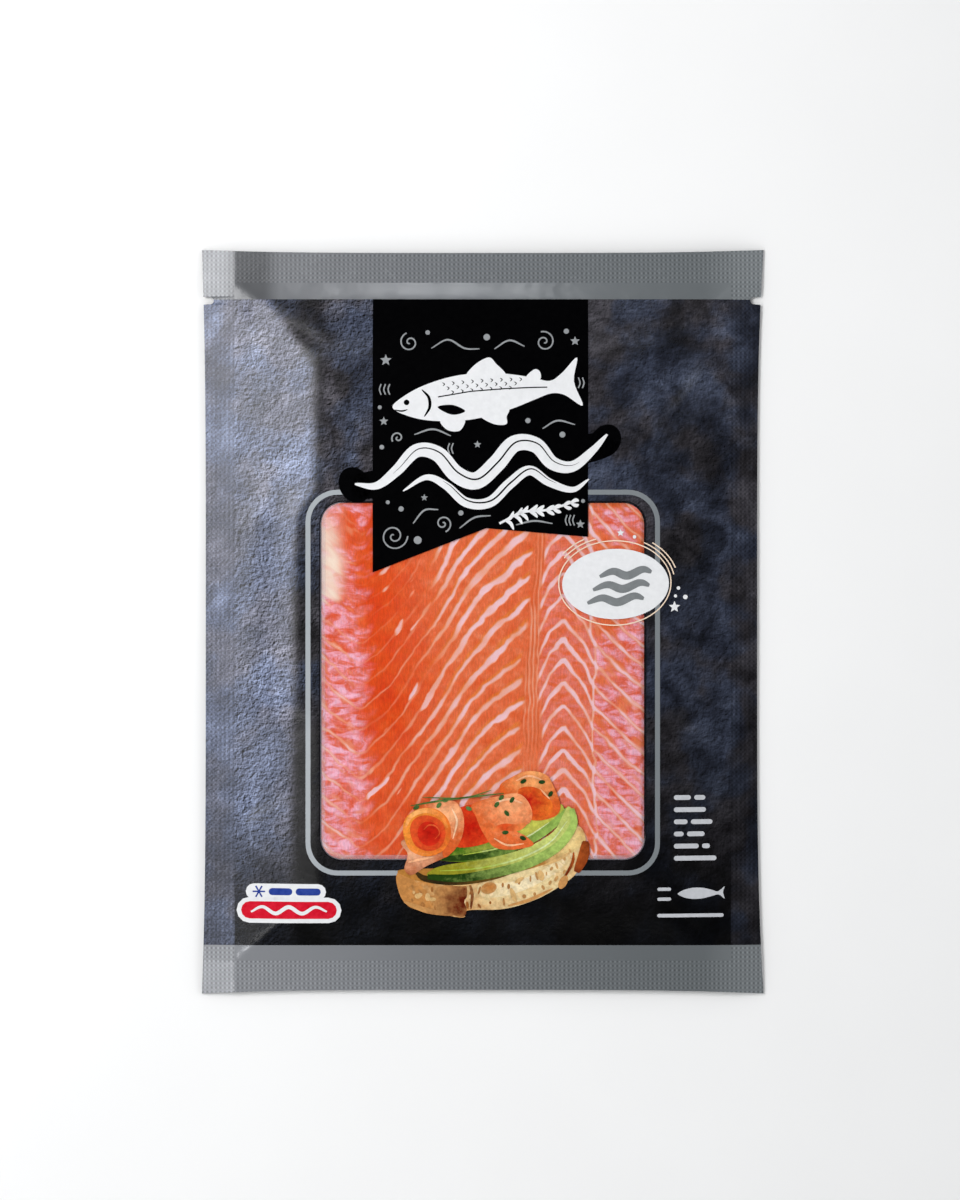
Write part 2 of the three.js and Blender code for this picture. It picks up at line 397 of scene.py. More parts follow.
def odd_inside(points, loops):
    return sum(inside(points, loop).astype(int) for loop in loops) % 2 == 1


def dense(loop, most):
    """The loop with no step longer than that."""
    loop = np.array(loop, float)
    points = []
    for start, end in zip(loop, np.roll(loop, -1, axis=0)):
        steps = max(1, math.ceil(np.hypot(*(end - start)) / most))
        points.append(interpolate(start, end, np.arange(steps)[:, None] / steps))
    return np.concatenate(points)


def conform(loops, lift, cell):
    """A thin print that lies on the front: the area inside the loops, less what lies inside two of them."""
    loops = [dense(loop, cell) for loop in loops]
    starts = np.cumsum([0] + [len(loop) for loop in loops])
    edges = [(start + i, start + (i + 1) % len(loop))
             for start, loop in zip(starts, loops) for i in range(len(loop))]
    rim = np.concatenate(loops)
    (x0, y0), (x1, y1) = rim.min(axis=0), rim.max(axis=0)
    x, y = np.meshgrid(np.arange(x0 + cell / 2, x1, cell), np.arange(y0 + cell / 2, y1, cell))
    fill = np.stack([x.ravel(), y.ravel()], -1)
    fill = fill[odd_inside(fill, loops)]
    if len(fill):
        near = np.array([np.hypot(*(rim - point).T).min() for point in fill])
        fill = fill[near > cell / 4]
    points = [Vector(point) for point in np.concatenate([rim, fill])]
    verts, _, faces, *_ = delaunay_2d_cdt(points, edges, [], 0, 10 * TINY)
    flat, faces = np.array([tuple(vertex) for vertex in verts]), np.array(faces)
    a, b, c = (flat[faces[:, corner]] for corner in range(3))
    turned = (b[:, 0] - a[:, 0]) * (c[:, 1] - a[:, 1]) < (b[:, 1] - a[:, 1]) * (c[:, 0] - a[:, 0])
    faces[turned] = faces[turned][:, ::-1]
    height = front_height(flat[:, 0], flat[:, 1]) + lift
    return np.column_stack([flat, height]), faces[odd_inside((a + b + c) / 3, loops)]


# Shapes of the print, each a closed loop in millimetres

def at_tilt(loop, centre, turn):
    """The loop turned about its own origin, which then goes to that centre."""
    x, y = np.array(loop, float).T
    return np.stack([centre[0] + x * math.cos(turn) - y * math.sin(turn),
                     centre[1] + x * math.sin(turn) + y * math.cos(turn)], -1)


def ellipse(cx, cy, a, b, turn=0.0, steps=40):
    angles = np.linspace(0, TURN, steps, endpoint=False)
    return at_tilt(np.stack([a * np.cos(angles), b * np.sin(angles)], -1), (cx, cy), turn)


def star(cx, cy, radius, points=5, turn=0.25, waist=0.45):
    angles = (np.arange(2 * points) / (2 * points) + turn) * TURN
    reach = np.where(np.arange(2 * points) % 2 == 0, radius, waist * radius)
    return np.stack([cx + reach * np.cos(angles), cy + reach * np.sin(angles)], -1)


def bar(x0, x1, y, height):
    """A short rounded bar, such as stands for a word of small print."""
    r = height / 2
    angles = np.linspace(-0.25, 0.25, 7) * TURN
    right = np.stack([x1 - r + r * np.cos(angles), y + r * np.sin(angles)], -1)
    left = np.stack([x0 + r - r * np.cos(angles), y - r * np.sin(angles)], -1)
    return np.concatenate([right, left])


def smooth_path(points, steps=10, closed=False):
    """A Catmull-Rom curve through the points."""
    p = np.array(points, float)
    ends = (p[-1:], p[:2]) if closed else (2 * p[:1] - p[1:2], 2 * p[-1:] - p[-2:-1])
    p = np.concatenate([ends[0], p, ends[1]])
    share = np.linspace(0, 1, steps, endpoint=False)[:, None]
    spans = []
    for a, b, c, d in zip(p[:-3], p[1:-2], p[2:-1], p[3:]):
        spans.append(0.5 * (2 * b + (c - a) * share + (2 * a - 5 * b + 4 * c - d) * share ** 2
                            + (3 * b - a - 3 * c + d) * share ** 3))
    path = np.concatenate(spans)
    return path if closed else np.concatenate([path, p[-2:-1]])


def ribbon(path, width):
    """A stroke along a path, as a closed loop. width is a number, or a function of the share along it."""
    path = np.array(path)
    share = np.linspace(0, 1, len(path))
    half = (width(share) if callable(width) else np.full(len(path), width)) / 2
    ahead = np.gradient(path, axis=0)
    ahead /= np.hypot(ahead[:, 0], ahead[:, 1])[:, None]
    beside = np.stack([-ahead[:, 1], ahead[:, 0]], -1) * half[:, None]
    return np.concatenate([path - beside, (path + beside)[::-1]])


def spiral(cx, cy, radius, turns, start, lean=1):
    share = np.linspace(0.08, 1, int(26 * turns))
    angles = TURN * (start + lean * turns * share)
    return np.stack([cx + radius * share * np.cos(angles), cy + radius * share * np.sin(angles)], -1)


# Materials

SALMON_FIELDS = ("fat", "pink", "tone", "edge", "shadow", "painted_highlight")


class Look:
    """A node material, with a few short ways to add nodes. Positions reach its nodes in millimetres."""

    def __init__(self, name, **values):
        self.material = bpy.data.materials.new(name)
        self.material.use_nodes = True
        self.tree = self.material.node_tree
        self.shader = self.tree.nodes["Principled BSDF"]
        for socket, value in values.items():
            self.shader.inputs[socket.replace("_", " ")].default_value = value
        place_node = self.tree.nodes.new("ShaderNodeTexCoord")
        self.place = self.vector("SCALE", place_node.outputs["Object"], scale=1 / MM)
        self.facing = place_node.outputs["Normal"]

    def node(self, kind, inputs, **settings):
        node = self.tree.nodes.new(kind)
        for name, value in settings.items():
            setattr(node, name, value)
        for socket, value in inputs.items():
            if isinstance(value, bpy.types.NodeSocket):
                self.tree.links.new(value, node.inputs[socket])
            elif value is not None:
                node.inputs[socket].default_value = value
        return node

    # Short ways to do sums with nodes or numbers
    def math(self, operation, a, b=None):
        return self.node("ShaderNodeMath", {0: a, 1: b}, operation=operation).outputs[0]

    def chain(self, operation, value, *others):
        for other in others:
            value = self.math(operation, value, other)
        return value

    def times(self, *values):
        return self.chain("MULTIPLY", *values)

    def plus(self, *values):
        return self.chain("ADD", *values)

    def most(self, *values):
        return self.chain("MAXIMUM", *values)

    def rest(self, value):
        """What is left of one."""
        return self.math("SUBTRACT", 1.0, value)

    def off(self, value, centre):
        """How far the value is from a centre, on either side."""
        return self.math("ABSOLUTE", self.plus(value, -centre))

    def vector(self, operation, a, b=None, scale=None):
        node = self.node("ShaderNodeVectorMath", {0: a, 1: b, "Scale": scale}, operation=operation)
        return node.outputs[0]

    def axis(self, name, vector=None):
        return self.node("ShaderNodeSeparateXYZ", {0: vector or self.place}).outputs[name]

    def stretch(self, scale, offset=(0, 0, 0), turn=0.0):
        return self.node("ShaderNodeMapping", {
            "Vector": self.place, "Location": offset, "Rotation": (0, 0, turn), "Scale": scale}).outputs[0]

    def noise(self, cell, detail=3.0, roughness=0.55, distortion=0.0, place=None):
        node = self.node("ShaderNodeTexNoise", {
            "Vector": place or self.place, "Scale": 1 / cell, "Detail": detail,
            "Roughness": roughness, "Distortion": distortion})
        return node.outputs["Fac"]

    def span(self, value, low, high, to_low=0.0, to_high=1.0):
        """The value eased from one range to another, and held at its ends."""
        return self.node("ShaderNodeMapRange", {
            "Value": value, "From Min": low, "From Max": high, "To Min": to_low, "To Max": to_high},
            interpolation_type="SMOOTHSTEP").outputs[0]

    def ramp(self, value, stops):
        node = self.node("ShaderNodeValToRGB", {"Fac": value})
        while len(node.color_ramp.elements) < len(stops):
            node.color_ramp.elements.new(0.5)
        for element, (position, colour) in zip(node.color_ramp.elements, stops):
            element.position = position
            element.color = (*linear(colour), 1)
        return node.outputs["Color"]

    def mix(self, share, a, b):
        a, b = [(*linear(c), 1) if isinstance(c, tuple) else c for c in (a, b)]
        node = self.node("ShaderNodeMix", {0: share, 6: a, 7: b}, data_type="RGBA")
        return node.outputs[2]

    def shade(self, colour, factor):
        """The colour, lighter or darker by a factor that may pass 1."""
        return self.vector("SCALE", colour, scale=factor)

    def field(self, name):
        return self.node("ShaderNodeAttribute", {}, attribute_name=name).outputs["Fac"]

    def use(self, socket, value):
        self.tree.links.new(value, self.shader.inputs[socket])

    def bump(self, height, distance):
        node = self.node("ShaderNodeBump", {"Height": height, "Distance": distance * MM})
        self.use("Normal", node.outputs[0])


def linear(colour):
    """A screen colour, 0 to 255, as the paint that shows it under the studio's light."""
    # The usual screen curve
    shown = [c / 255 / 12.92 if c <= 10 else ((c / 255 + 0.055) / 1.055) ** 2.4 for c in colour]
    return tuple(value / STUDIO_LIGHT for value in shown)


def laminate_material(name):
    """The printed film: silver-grey bands at both ends and a slate print between them.

    Spans over x and y start and end at millimetres on the front, and give shares of light.
    """
    look = Look(name)
    x, y = look.axis("X"), look.axis("Y")
    above = look.math("GREATER_THAN", y, BAND_TOP)
    below = look.math("LESS_THAN", y, BAND_BOTTOM)
    bands = look.plus(above, below)
    beyond = look.most(look.plus(look.off(x, 0), -SEAL_X), look.plus(look.off(y, 0), -SEAL_Y))
    sealed = look.span(beyond, -0.2, 0.2)
    front = look.math("GREATER_THAN", look.axis("Z", look.facing), 0.0)

    # Clouds of grey and of blue-grey stone
    clouds = look.noise(13, 5, 0.6, 0.5)
    cool = look.ramp(clouds, (
        (0.3, (22, 25, 34)), (0.44, (40, 44, 57)), (0.57, (60, 66, 83)), (0.72, (88, 96, 117))))
    warm = look.ramp(clouds, (
        (0.3, (24, 23, 26)), (0.44, (44, 42, 46)), (0.57, (64, 62, 68)), (0.72, (90, 88, 95))))
    tint = look.noise(17, 3, 0.5, place=look.stretch((1, 1, 1), (60, 20, 0)))
    stone = look.mix(look.span(tint, 0.42, 0.58), cool, warm)
    # Rock lit from the upper left: the slope of a fine noise and of a coarser one, weaker to the right
    (grain, grain_shifted), (chips, chips_shifted) = (
        [look.noise(size, 3, 0.62, 0.35, look.stretch((1, 1, 1), (shift, -shift, 0))) for shift in (0, reach)]
        for size, reach in ((1.15, 0.25), (6.5, 0.8)))
    relief = look.times(look.math("SUBTRACT", grain, grain_shifted), look.span(x, -50, 25, 6.6, 3.0))
    hollows = look.times(look.math("SUBTRACT", chips, chips_shifted), 2.0)
    flecks = look.span(look.noise(1.9, 2, 0.5, 0.6), 0.64, 0.76, 0, 0.6)
    relief = look.times(look.plus(relief, hollows, flecks), look.rest(look.times(sealed, SEAL_SMOOTHING)))
    # Painted light: the slope on the left is lightened in the print's colour, as if it caught the light. The
    # front darkens towards the right and fades to black at the bottom, partly the print's own gradient and
    # partly painted shade
    (ax, ay), (bx, by) = CREASE
    slope = look.most(look.plus(x, look.span(y, BULGE_TOP[1], BULGE_TOP[0], BULGE_LEFT, 0)),
                      look.plus(x, look.times(look.plus(y, -ay), (ax - bx) / (by - ay))))
    lit_side = look.times(front, look.span(slope, ax - 4, ax + 0.5, 1, 0))
    stone = look.mix(look.times(lit_side, 0.5), stone, (57, 61, 73))
    across = look.times(look.plus(look.times(lit_side, SLOPE_LIGHT), 1.0), look.span(x, -46, 50, 1.05, 0.75))
    later = look.plus(look.times(lit_side, look.span(y, -92, -60, 0, 1.3)), 1.0)
    along = look.math("MINIMUM", look.times(look.span(y, -96, 0, 0.05, 1.0), later), 1.0)
    seal_light = look.times(sealed, look.span(x, -50, 50, 0.62, 0.5))
    along = look.most(along, seal_light, look.times(look.rest(front), UNDERSIDE_LIGHT))
    # Painted shade: a strip beside the window is darkened in the print's colour
    beside = look.times(look.math("SUBTRACT", front, lit_side), look.span(look.off(x, -52), 2, 6, 0.4, 0))
    lit = look.times(across, along, look.rest(beside), look.plus(relief, 1.0))
    stone = look.shade(stone, look.times(lit, look.rest(look.times(sealed, SEAL_DARKENING))))

    # The silver is lighter at both ends, painted light on the seals' corners. On the front, shaded is painted
    # shade on the top band beside the left seal, and bright is painted light on the bottom band's left part
    silver = look.ramp(look.span(x, -80, 84), (
        (0.0, (124, 126, 130)), (0.3, (118, 121, 125)), (0.97, (110, 115, 118)), (1.0, (126, 131, 134))))
    shaded = look.times(above, look.span(look.off(x, -70), 3, 9.5, 0.46, 0))
    bright = look.times(below, look.span(x, -82, 62, 0.32, -0.05))
    silver = look.shade(silver, look.plus(look.times(front, look.math("SUBTRACT", bright, shaded)), 1.0))
    colour = look.mix(bands, stone, silver)
    # Painted shade between the studs of the seals and painted light on their tops, most of all between their
    # columns
    columns, rows = (look.math("COSINE", look.times(value, TURN / CRIMP_PITCH)) for value in (x, y))
    studs = look.plus(look.times(columns, rows, STUD_SHADE[0]), look.times(columns, STUD_SHADE[1]))
    look.use("Base Color", look.shade(colour, look.plus(look.times(studs, sealed), 1.0)))
    look.use("Metallic", look.times(bands, BAND_METAL))
    look.use("Specular IOR Level", look.span(bands, 0, 1, 0.22, 0.34))
    glossy = look.times(bands, look.rest(sealed))
    uneven = look.span(look.noise(6, 2), 0.2, 0.8, 0.23, 0.29)
    look.use("Roughness", look.plus(uneven, look.times(glossy, -0.1)))
    look.bump(look.plus(look.noise(9, 2), look.times(grain, look.rest(bands), 0.5)), 0.12)
    return look.material


def clear_material():
    """Clear film: all but its gloss is let through."""
    look = Look("clear_film", Base_Color=(1, 1, 1, 1), Metallic=1.0, Roughness=0.14)
    look.bump(look.noise(11, 3), 0.25)
    sheen = look.node("ShaderNodeLayerWeight", {"Blend": 0.12}).outputs["Fresnel"]
    through = look.node("ShaderNodeBsdfTransparent", {})
    both = look.node("ShaderNodeMixShader", {0: sheen, 1: through.outputs[0], 2: look.shader.outputs[0]})
    look.tree.links.new(both.outputs[0], look.tree.nodes["Material Output"].inputs["Surface"])
    return look.material


def ink_material(name, colour, spread, roughness=0.4):
    """Printed ink of one colour, with the unevenness of print on film."""
    look = Look(name, Roughness=roughness, Specular_IOR_Level=0.01)
    light = tuple(min(255, c + spread) for c in colour)
    dark = tuple(max(0, c - spread) for c in colour)
    look.use("Base Color", look.ramp(look.noise(1.6, 3), ((0.3, dark), (0.7, light))))
    look.bump(look.noise(9, 2), 0.1)
    return look.material


def flesh_material():
    """Smoked salmon: orange flesh, paler and pinker in places, with lines of fat and a painted highlight."""
    look = Look("salmon_flesh", Roughness=0.5, Specular_IOR_Level=0.1)
    fat, pink, tone, edge, shadow, painted_highlight = (look.field(name) for name in SALMON_FIELDS)
    deep = look.ramp(look.noise(5, 4, 0.6), (
        (0.3, (224, 62, 14)), (0.55, (232, 82, 22)), (0.75, (238, 104, 42))))
    pale = look.ramp(look.noise(3.4, 4, 0.62), (
        (0.3, (232, 102, 50)), (0.55, (240, 124, 78)), (0.75, (246, 150, 108))))
    flesh = look.mix(tone, deep, pale)
    fibres = look.noise(1, 4, 0.7, 0.6, look.stretch((1 / 0.4, 1 / 2.2, 1.0), turn=-0.22))
    flesh = look.mix(look.times(edge, 0.6), flesh, (238, 142, 54))
    speckle = look.noise(1, 4, 0.6, 0.7, look.stretch((1 / 5.2, 1 / 2.4, 1.0), turn=0.45))
    rosy = look.ramp(speckle, (
        (0.34, (232, 94, 62)), (0.45, (238, 128, 114)), (0.53, (246, 162, 176)), (0.64, (254, 200, 222))))
    flesh = look.mix(pink, flesh, rosy)
    flesh = look.mix(look.times(shadow, 0.6), flesh, (196, 84, 30))
    flesh = look.shade(flesh, look.span(fibres, 0.28, 0.72, 0.86, 1.14))
    cream = look.ramp(fat, ((0.12, (244, 140, 88)), (0.5, (248, 178, 146)), (0.85, (255, 220, 230))))
    cover = look.times(look.span(fat, 0.02, 0.6), look.span(fibres, 0.25, 0.6, 1.0, 0.86))
    # A warm white painted highlight, standing in for the film's reflection of the lamp
    colour = look.mix(painted_highlight, look.mix(cover, flesh, cream), (255, 236, 218))
    look.use("Base Color", colour)
    look.use("Roughness", look.span(look.noise(2.5, 3), 0.3, 0.7, 0.42, 0.58))
    look.bump(look.plus(fibres, look.noise(0.9, 3)), 0.06)
    return look.material


def floor_material():
    look = Look("floor", Roughness=0.9)
    look.use("Base Color", look.ramp(look.noise(60, 2), ((0.3, (253, 253, 253)), (0.7, (255, 255, 255)))))
    return look.material


# The salmon behind the window

BAND_PITCH = 6.9
BACK_PITCH = 6.45
RIDGE_AT = 1.1
LOIN_FLOW = (
    (-60, 30), (-49, 38), (-41.5, 44.7), (-36.8, 48), (-28.3, 40.2), (-19, 26), (-10.2, 13), (-4.8, 5),
    (1.6, -2.4), (8.5, -8.2), (20, -17))
BACK_FLOW = ((5, 30), (17, 10.5), (20, 4.2), (24.3, 0), (30.8, 8), (33, 13), (44, 24.2), (60, 38))
BELLY_EDGE = -35.5
BACK_EDGE = 33.4
FLESH_STEP = 0.37
FLESH_UNDER_FILM = 0.3
FLESH_FOOT = 1.2


def lateral_line(y):
    return 13.3 + 0.00086 * (y + 45) ** 2


def line_drop(table, x, rounding):
    """How far the lines of fat have dropped at a place across, with its corners rounded."""
    places, drops = zip(*table)
    at = [np.interp(x + rounding * share, places, drops) for share in (-1, -0.4, 0.4, 1)]
    return sum(at) / len(at)


def line_cover(phase, half_width, step, blur=0.22):
    """How much of a point the nearest line covers, 0 to 1, for lines at the whole numbers of phase."""
    along, across = np.gradient(phase, step)
    off = np.abs(phase - np.round(phase)) / np.hypot(along, across)
    return smooth_step(half_width + blur, half_width - blur, off)


def by_line(phase, seed, low, high):
    """A value of its own for each line."""
    values = np.random.default_rng(seed).uniform(low, high, 512)
    return values[np.round(phase).astype(int) % 512]


def flesh_fields(x, y, step):
    """Where the fat, the pink flesh, the paler flesh and a painted highlight lie on the fillet's face.

    Places and widths are millimetres on the front, and the rest are shares.
    """
    # The phase of the lines of fat, in the loin and in the back, and where each part of the fillet ends
    wander = 1.1 * noise(x, y, 13, 3) + 0.6 * noise(x, y, 4.6, 4) + 0.3 * noise(x, y, 1.6, 5)
    lateral = lateral_line(y) + 0.5 * noise(x, y, 6, 6)
    belly_edge = BELLY_EDGE + 1.6 * noise(x, y, 9, 7)
    fan = 0.45 * smooth_step(-15, 30, y) * np.clip(-8 - x, 0, 14)
    loin_drop = y + line_drop(LOIN_FLOW, x, 1.3) + fan + wander
    back_drop = y - RIDGE_AT + line_drop(BACK_FLOW, x, 0.5) + 0.7 * wander
    loin, back = loin_drop / BAND_PITCH, back_drop / BACK_PITCH
    thick = 1 + 0.35 * noise(x, y, 3.5, 8) + 0.15 * noise(x, y, 1.2, 27)

    back_start = np.maximum(lateral + 1.2, 16.8) + by_line(back, 24, -0.3, 1.0)
    in_back = smooth_step(-0.6, 0.9, x - back_start)
    past_back = smooth_step(-0.5, 1.0, x - BACK_EDGE)
    belly = smooth_step(3.2, -3.0, x - belly_edge + 1.3 * np.cos(TURN * (loin + 0.1)))
    # Each thick line of the loin stops short of the lateral line in its own place
    to_tip = lateral - by_line(loin, 23, 0.6, 2.6) - x
    in_loin = smooth_step(-0.6, 0.8, to_tip)

    # How wide and how strong the loin's lines are; they are broken in the upper left
    half = np.interp(x, (-49, -38, -25, -12, 0, 8), (0.34, 0.26, 0.32, 0.56, 0.84, 0.94))
    half = half * interpolate(0.6, 1, smooth_step(0, 4, to_tip)) * thick * by_line(loin, 21, 0.8, 1.2)
    half = half * (1 + 0.45 * smooth_step(-10, -60, y) * smooth_step(-2, -14, x))
    strength = np.interp(x, (-49, -42, -36, -30, -20, -10, 0), (0.85, 0.7, 0.4, 0.5, 0.7, 0.9, 1.0))
    gaps = smooth_step(-8, -20, x) * smooth_step(-42, 0, y) * (1 - belly)
    broken = interpolate(1, smooth_step(-0.5, 0.3, noise(x, loin_drop, 8, 28)), gaps)
    broken = broken * (1 - 0.5 * smooth_step(-12, -24, x) * smooth_step(-30, 8, y))
    dashes = smooth_step(0.45, 0.75, noise(x, loin_drop, 4.2, 9)) * smooth_step(-10, -22, x)
    half = half * (1 + 1.2 * dashes * (1 - belly))
    blur = np.interp(x, (-30, 0), (0.34, 0.46))
    loin_fat = line_cover(loin, half, step, blur)
    loin_fat *= np.clip(strength * broken * by_line(loin, 22, 0.75, 1.0) * (0.9 + 0.3 * noise(x, y, 5, 17))
                        + 0.5 * dashes * (1 - belly), 0, 1)
    # The back's lines are widest on the crest of each bend
    crest = np.exp(-(((x - 24.5) / 4) ** 2))
    back_fat = line_cover(back, (0.46 + 0.24 * crest) * thick, step, 0.38)
    back_fat *= interpolate(0.95, 0.74, past_back) * (0.9 + 0.3 * noise(x, y, 4, 29))

    # Fine strands along the lateral line, and the sheath between the back and the edge
    ripple = 0.7 * noise(x, 0.6 * y, 5, 10) + 0.45 * noise(x, 0.7 * y, 2.1, 11)
    strand_at = (x - 0.5 * lateral + 0.5 * ripple) / 1.15
    on_lateral = smooth_step(-1.8, -0.6, x - lateral) * smooth_step(1.2, -0.4, x - back_start)
    strands = line_cover(strand_at, 0.18, step, 0.3) * on_lateral * (0.7 + 0.5 * noise(x, 0.3 * y, 3, 30))
    shadow = line_cover(strand_at + 0.5, 0.12, step) * on_lateral * smooth_step(-0.7, 0.3, noise(x, y, 7, 18))
    sheath = line_cover((x - BACK_EDGE + 0.012 * (y + 20) + 1.3 * ripple) / 300, 0.38 * thick, step)
    sheath = sheath * (0.42 + 0.2 * smooth_step(22, -10, y) + 0.25 * noise(x, y, 7, 26))

    fat = loin_fat * in_loin + back_fat * in_back + 0.6 * strands + 0.1 * on_lateral + sheath
    # Streaks that follow the lines of fat, in the belly and behind the back
    belly_streak = noise(1.5 * x, 3.4 * loin_drop, 6, 12) + 0.6 * noise(3 * x, 7 * loin_drop, 6, 13)
    back_streak = noise(1.4 * x, 3.2 * back_drop, 6, 19) + 0.6 * noise(3 * x, 7 * back_drop, 6, 20)
    blotch = noise(x, y, 6, 25)
    low = smooth_step(20, -60, y)
    fat = fat + 0.34 * belly * smooth_step(0.2, 1.1, belly_streak + 0.3 * low)
    fat = fat + 0.28 * past_back * smooth_step(0.3, 1.1, back_streak + 0.3 * low)

    # Colours: pink at both sides, paler flesh to the right, orange edges beside the lines, and a painted
    # highlight near the window's upper left, where the film would mirror the lamp
    pink = belly * smooth_step(0.5, -0.35, 0.5 * belly_streak + 0.7 * blotch - 0.9 * low)
    pink = pink + past_back * smooth_step(0.45, -0.4, 0.5 * back_streak + 0.7 * blotch + 0.1 - 0.8 * low)
    pink = 0.95 * pink + 0.22 * in_back * (1 - past_back)
    tone = smooth_step(-32, -6, x + 0.14 * y) * 0.9 + 0.3 * belly + 0.12 * noise(x, y, 9, 14)
    tone = tone + 0.3 * smooth_step(-15, -60, y)
    fringe = np.abs((loin - np.floor(loin)) - 0.17) * BAND_PITCH
    edge = in_loin * (1 - belly) * smooth_step(1.2, 0.2, fringe) * smooth_step(-22, -4, x)
    painted_highlight = smooth_step(-39.5, -46, x + 0.8 * blotch) * smooth_step(5, 8.5, y + 1.2 * belly_streak)
    painted_highlight = painted_highlight * smooth_step(38, 24, y) * (0.8 + 0.25 * belly_streak)
    fields = (fat, pink, tone, edge, shadow, painted_highlight)
    return {name: np.clip(value, 0, 1) for name, value in zip(SALMON_FIELDS, fields)}


def salmon_slab():
    reach = WINDOW_HALF_WIDTH - GAP
    xs = np.linspace(-reach, reach, round(2 * reach / FLESH_STEP) + 1)
    ys = np.linspace(WINDOW_BOTTOM + GAP, WINDOW_TOP - GAP,
                     round((WINDOW_TOP - WINDOW_BOTTOM - 2 * GAP) / FLESH_STEP) + 1)
    x, y = np.meshgrid(xs, ys)
    # The corners are drawn in to the window's round ones
    radius = WINDOW_RADIUS - GAP
    middle = (WINDOW_TOP + WINDOW_BOTTOM) / 2
    half = (WINDOW_TOP - WINDOW_BOTTOM) / 2 - GAP
    off_x = np.maximum(np.abs(x) - (reach - radius), 0)
    off_y = np.maximum(np.abs(y - middle) - (half - radius), 0)
    most, least = np.maximum(off_x, off_y), np.hypot(off_x, off_y)
    shrink = np.where(least > 0, most / np.maximum(least, 1e-9), 1)
    x = x - np.sign(x) * off_x * (1 - shrink)
    y = y - np.sign(y - middle) * off_y * (1 - shrink)

    fields = flesh_fields(x, y, FLESH_STEP)
    uneven = 0.05 * noise(x, y, 2.4, 15) + 0.08 * noise(x, y, 8, 16)
    rim = smooth_step(0, 1.2, np.minimum(reach - np.abs(x), half - np.abs(y - middle)))
    top = front_height(x, y) - FLESH_UNDER_FILM - 0.16 * fields["fat"] + uneven - 0.5 * (1 - rim)
    piece, rim = skirted("salmon_slices", np.stack([x, y, top], -1), FLESH_FOOT, flesh_material())
    for name, values in fields.items():
        values = np.concatenate([values.ravel(), values.ravel()[rim]])
        attribute = piece.data.attributes.new(name, "FLOAT", "POINT")
        attribute.data.foreach_set("value", values.astype(np.float32))
    return place(piece, "salmon", "salmon_flesh")


def outline(half_width, top, bottom, radius, inset=0.0):
    return rounded_corners(half_width - inset, top - inset, bottom + inset, radius - inset, (40, 44), 10)


def window_outline(inset=0.0):
    return outline(WINDOW_HALF_WIDTH, WINDOW_TOP, WINDOW_BOTTOM, WINDOW_RADIUS, inset)


def clear_window():
    points, faces = conform([window_outline()], 0.0, WINDOW_CELL)
    place(mesh_object("clear_window", points, faces, clear_material()), "window_film", "clear_film")


def printed(name, shapes, material, layer, cell=2.0):
    """One piece of print from many shapes, each a closed loop, or a list of them with its holes.

    It lies as many lifts of ink above the film as the layer says, in triangles of about that cell.
    """
    vertices, faces, count = [], [], 0
    for shape in shapes:
        points, triangles = conform(shape if isinstance(shape, list) else [shape], INK_LIFT * layer, cell)
        vertices.append(points)
        faces.append(triangles + count)
        count += len(points)
    piece = mesh_object(name, np.concatenate(vertices), np.concatenate(faces), material)
    return place(piece, "pouch", "pouch_film")


# The scene

def studio():
    """The floor, a bright room and the lamps that the photo's glints call for."""
    bpy.ops.mesh.primitive_plane_add(size=FLOOR_SIZE, location=(0, 0, -FLOOR_GAP * MM))
    floor = bpy.context.object
    floor.name = "floor"
    floor.data.materials.append(floor_material())

    world = bpy.data.worlds.new("studio")
    bpy.context.scene.world = world
    world.use_nodes = True
    tree = world.node_tree
    direction = tree.nodes.new("ShaderNodeTexCoord")
    split = tree.nodes.new("ShaderNodeSeparateXYZ")
    walls = tree.nodes.new("ShaderNodeMapRange")
    walls.interpolation_type = "SMOOTHSTEP"
    tree.links.new(direction.outputs["Generated"], split.inputs[0])
    tree.links.new(split.outputs["Z"], walls.inputs["Value"])
    # A bright room with a dark ceiling, which the film would mirror
    for socket, value in (("From Min", 0.86), ("From Max", 0.5), ("To Min", 0.04), ("To Max", 0.82)):
        walls.inputs[socket].default_value = value
    tree.links.new(walls.outputs[0], tree.nodes["Background"].inputs["Strength"])
    tree.nodes["Background"].inputs["Color"].default_value = (0.97, 0.985, 1.0, 1)

    for name, at, size, radiance in (
        ("softbox_left", (-0.36, 0.22, LAMP_LEVEL), (0.30, 0.38), 11.0),
        ("softbox_low_left", (-0.36, -0.03, LAMP_LEVEL), (0.30, 0.13), 2.6),
        ("softbox_corner", (-0.31, -0.25, LAMP_LEVEL), (0.11, 0.07), 22.0),
        ("strip_top", (-0.02, 0.365, LAMP_LEVEL), (0.095, 0.06), 7.5),
        ("glint_right", (0.30, 0.24, LAMP_LEVEL), (0.10, 0.10), 2.0),
        ("fill_right", (1.25, 0.1, 0.6), (0.8, 0.9), 2.2),
        ("fill_front", (0.0, -1.3, 0.6), (1.0, 0.7), 1.6),
    ):
        light = bpy.data.lights.new(name, "AREA")
        light.shape = "RECTANGLE"
        light.size, light.size_y = size
        light.energy = radiance * math.pi * size[0] * size[1]
        lamp = bpy.data.objects.new(name, light)
        lamp.location = at
        if "fill" in name:
            lamp.rotation_euler = (-Vector(at)).to_track_quat("-Z", "Y").to_euler()
        bpy.context.scene.collection.objects.link(lamp)


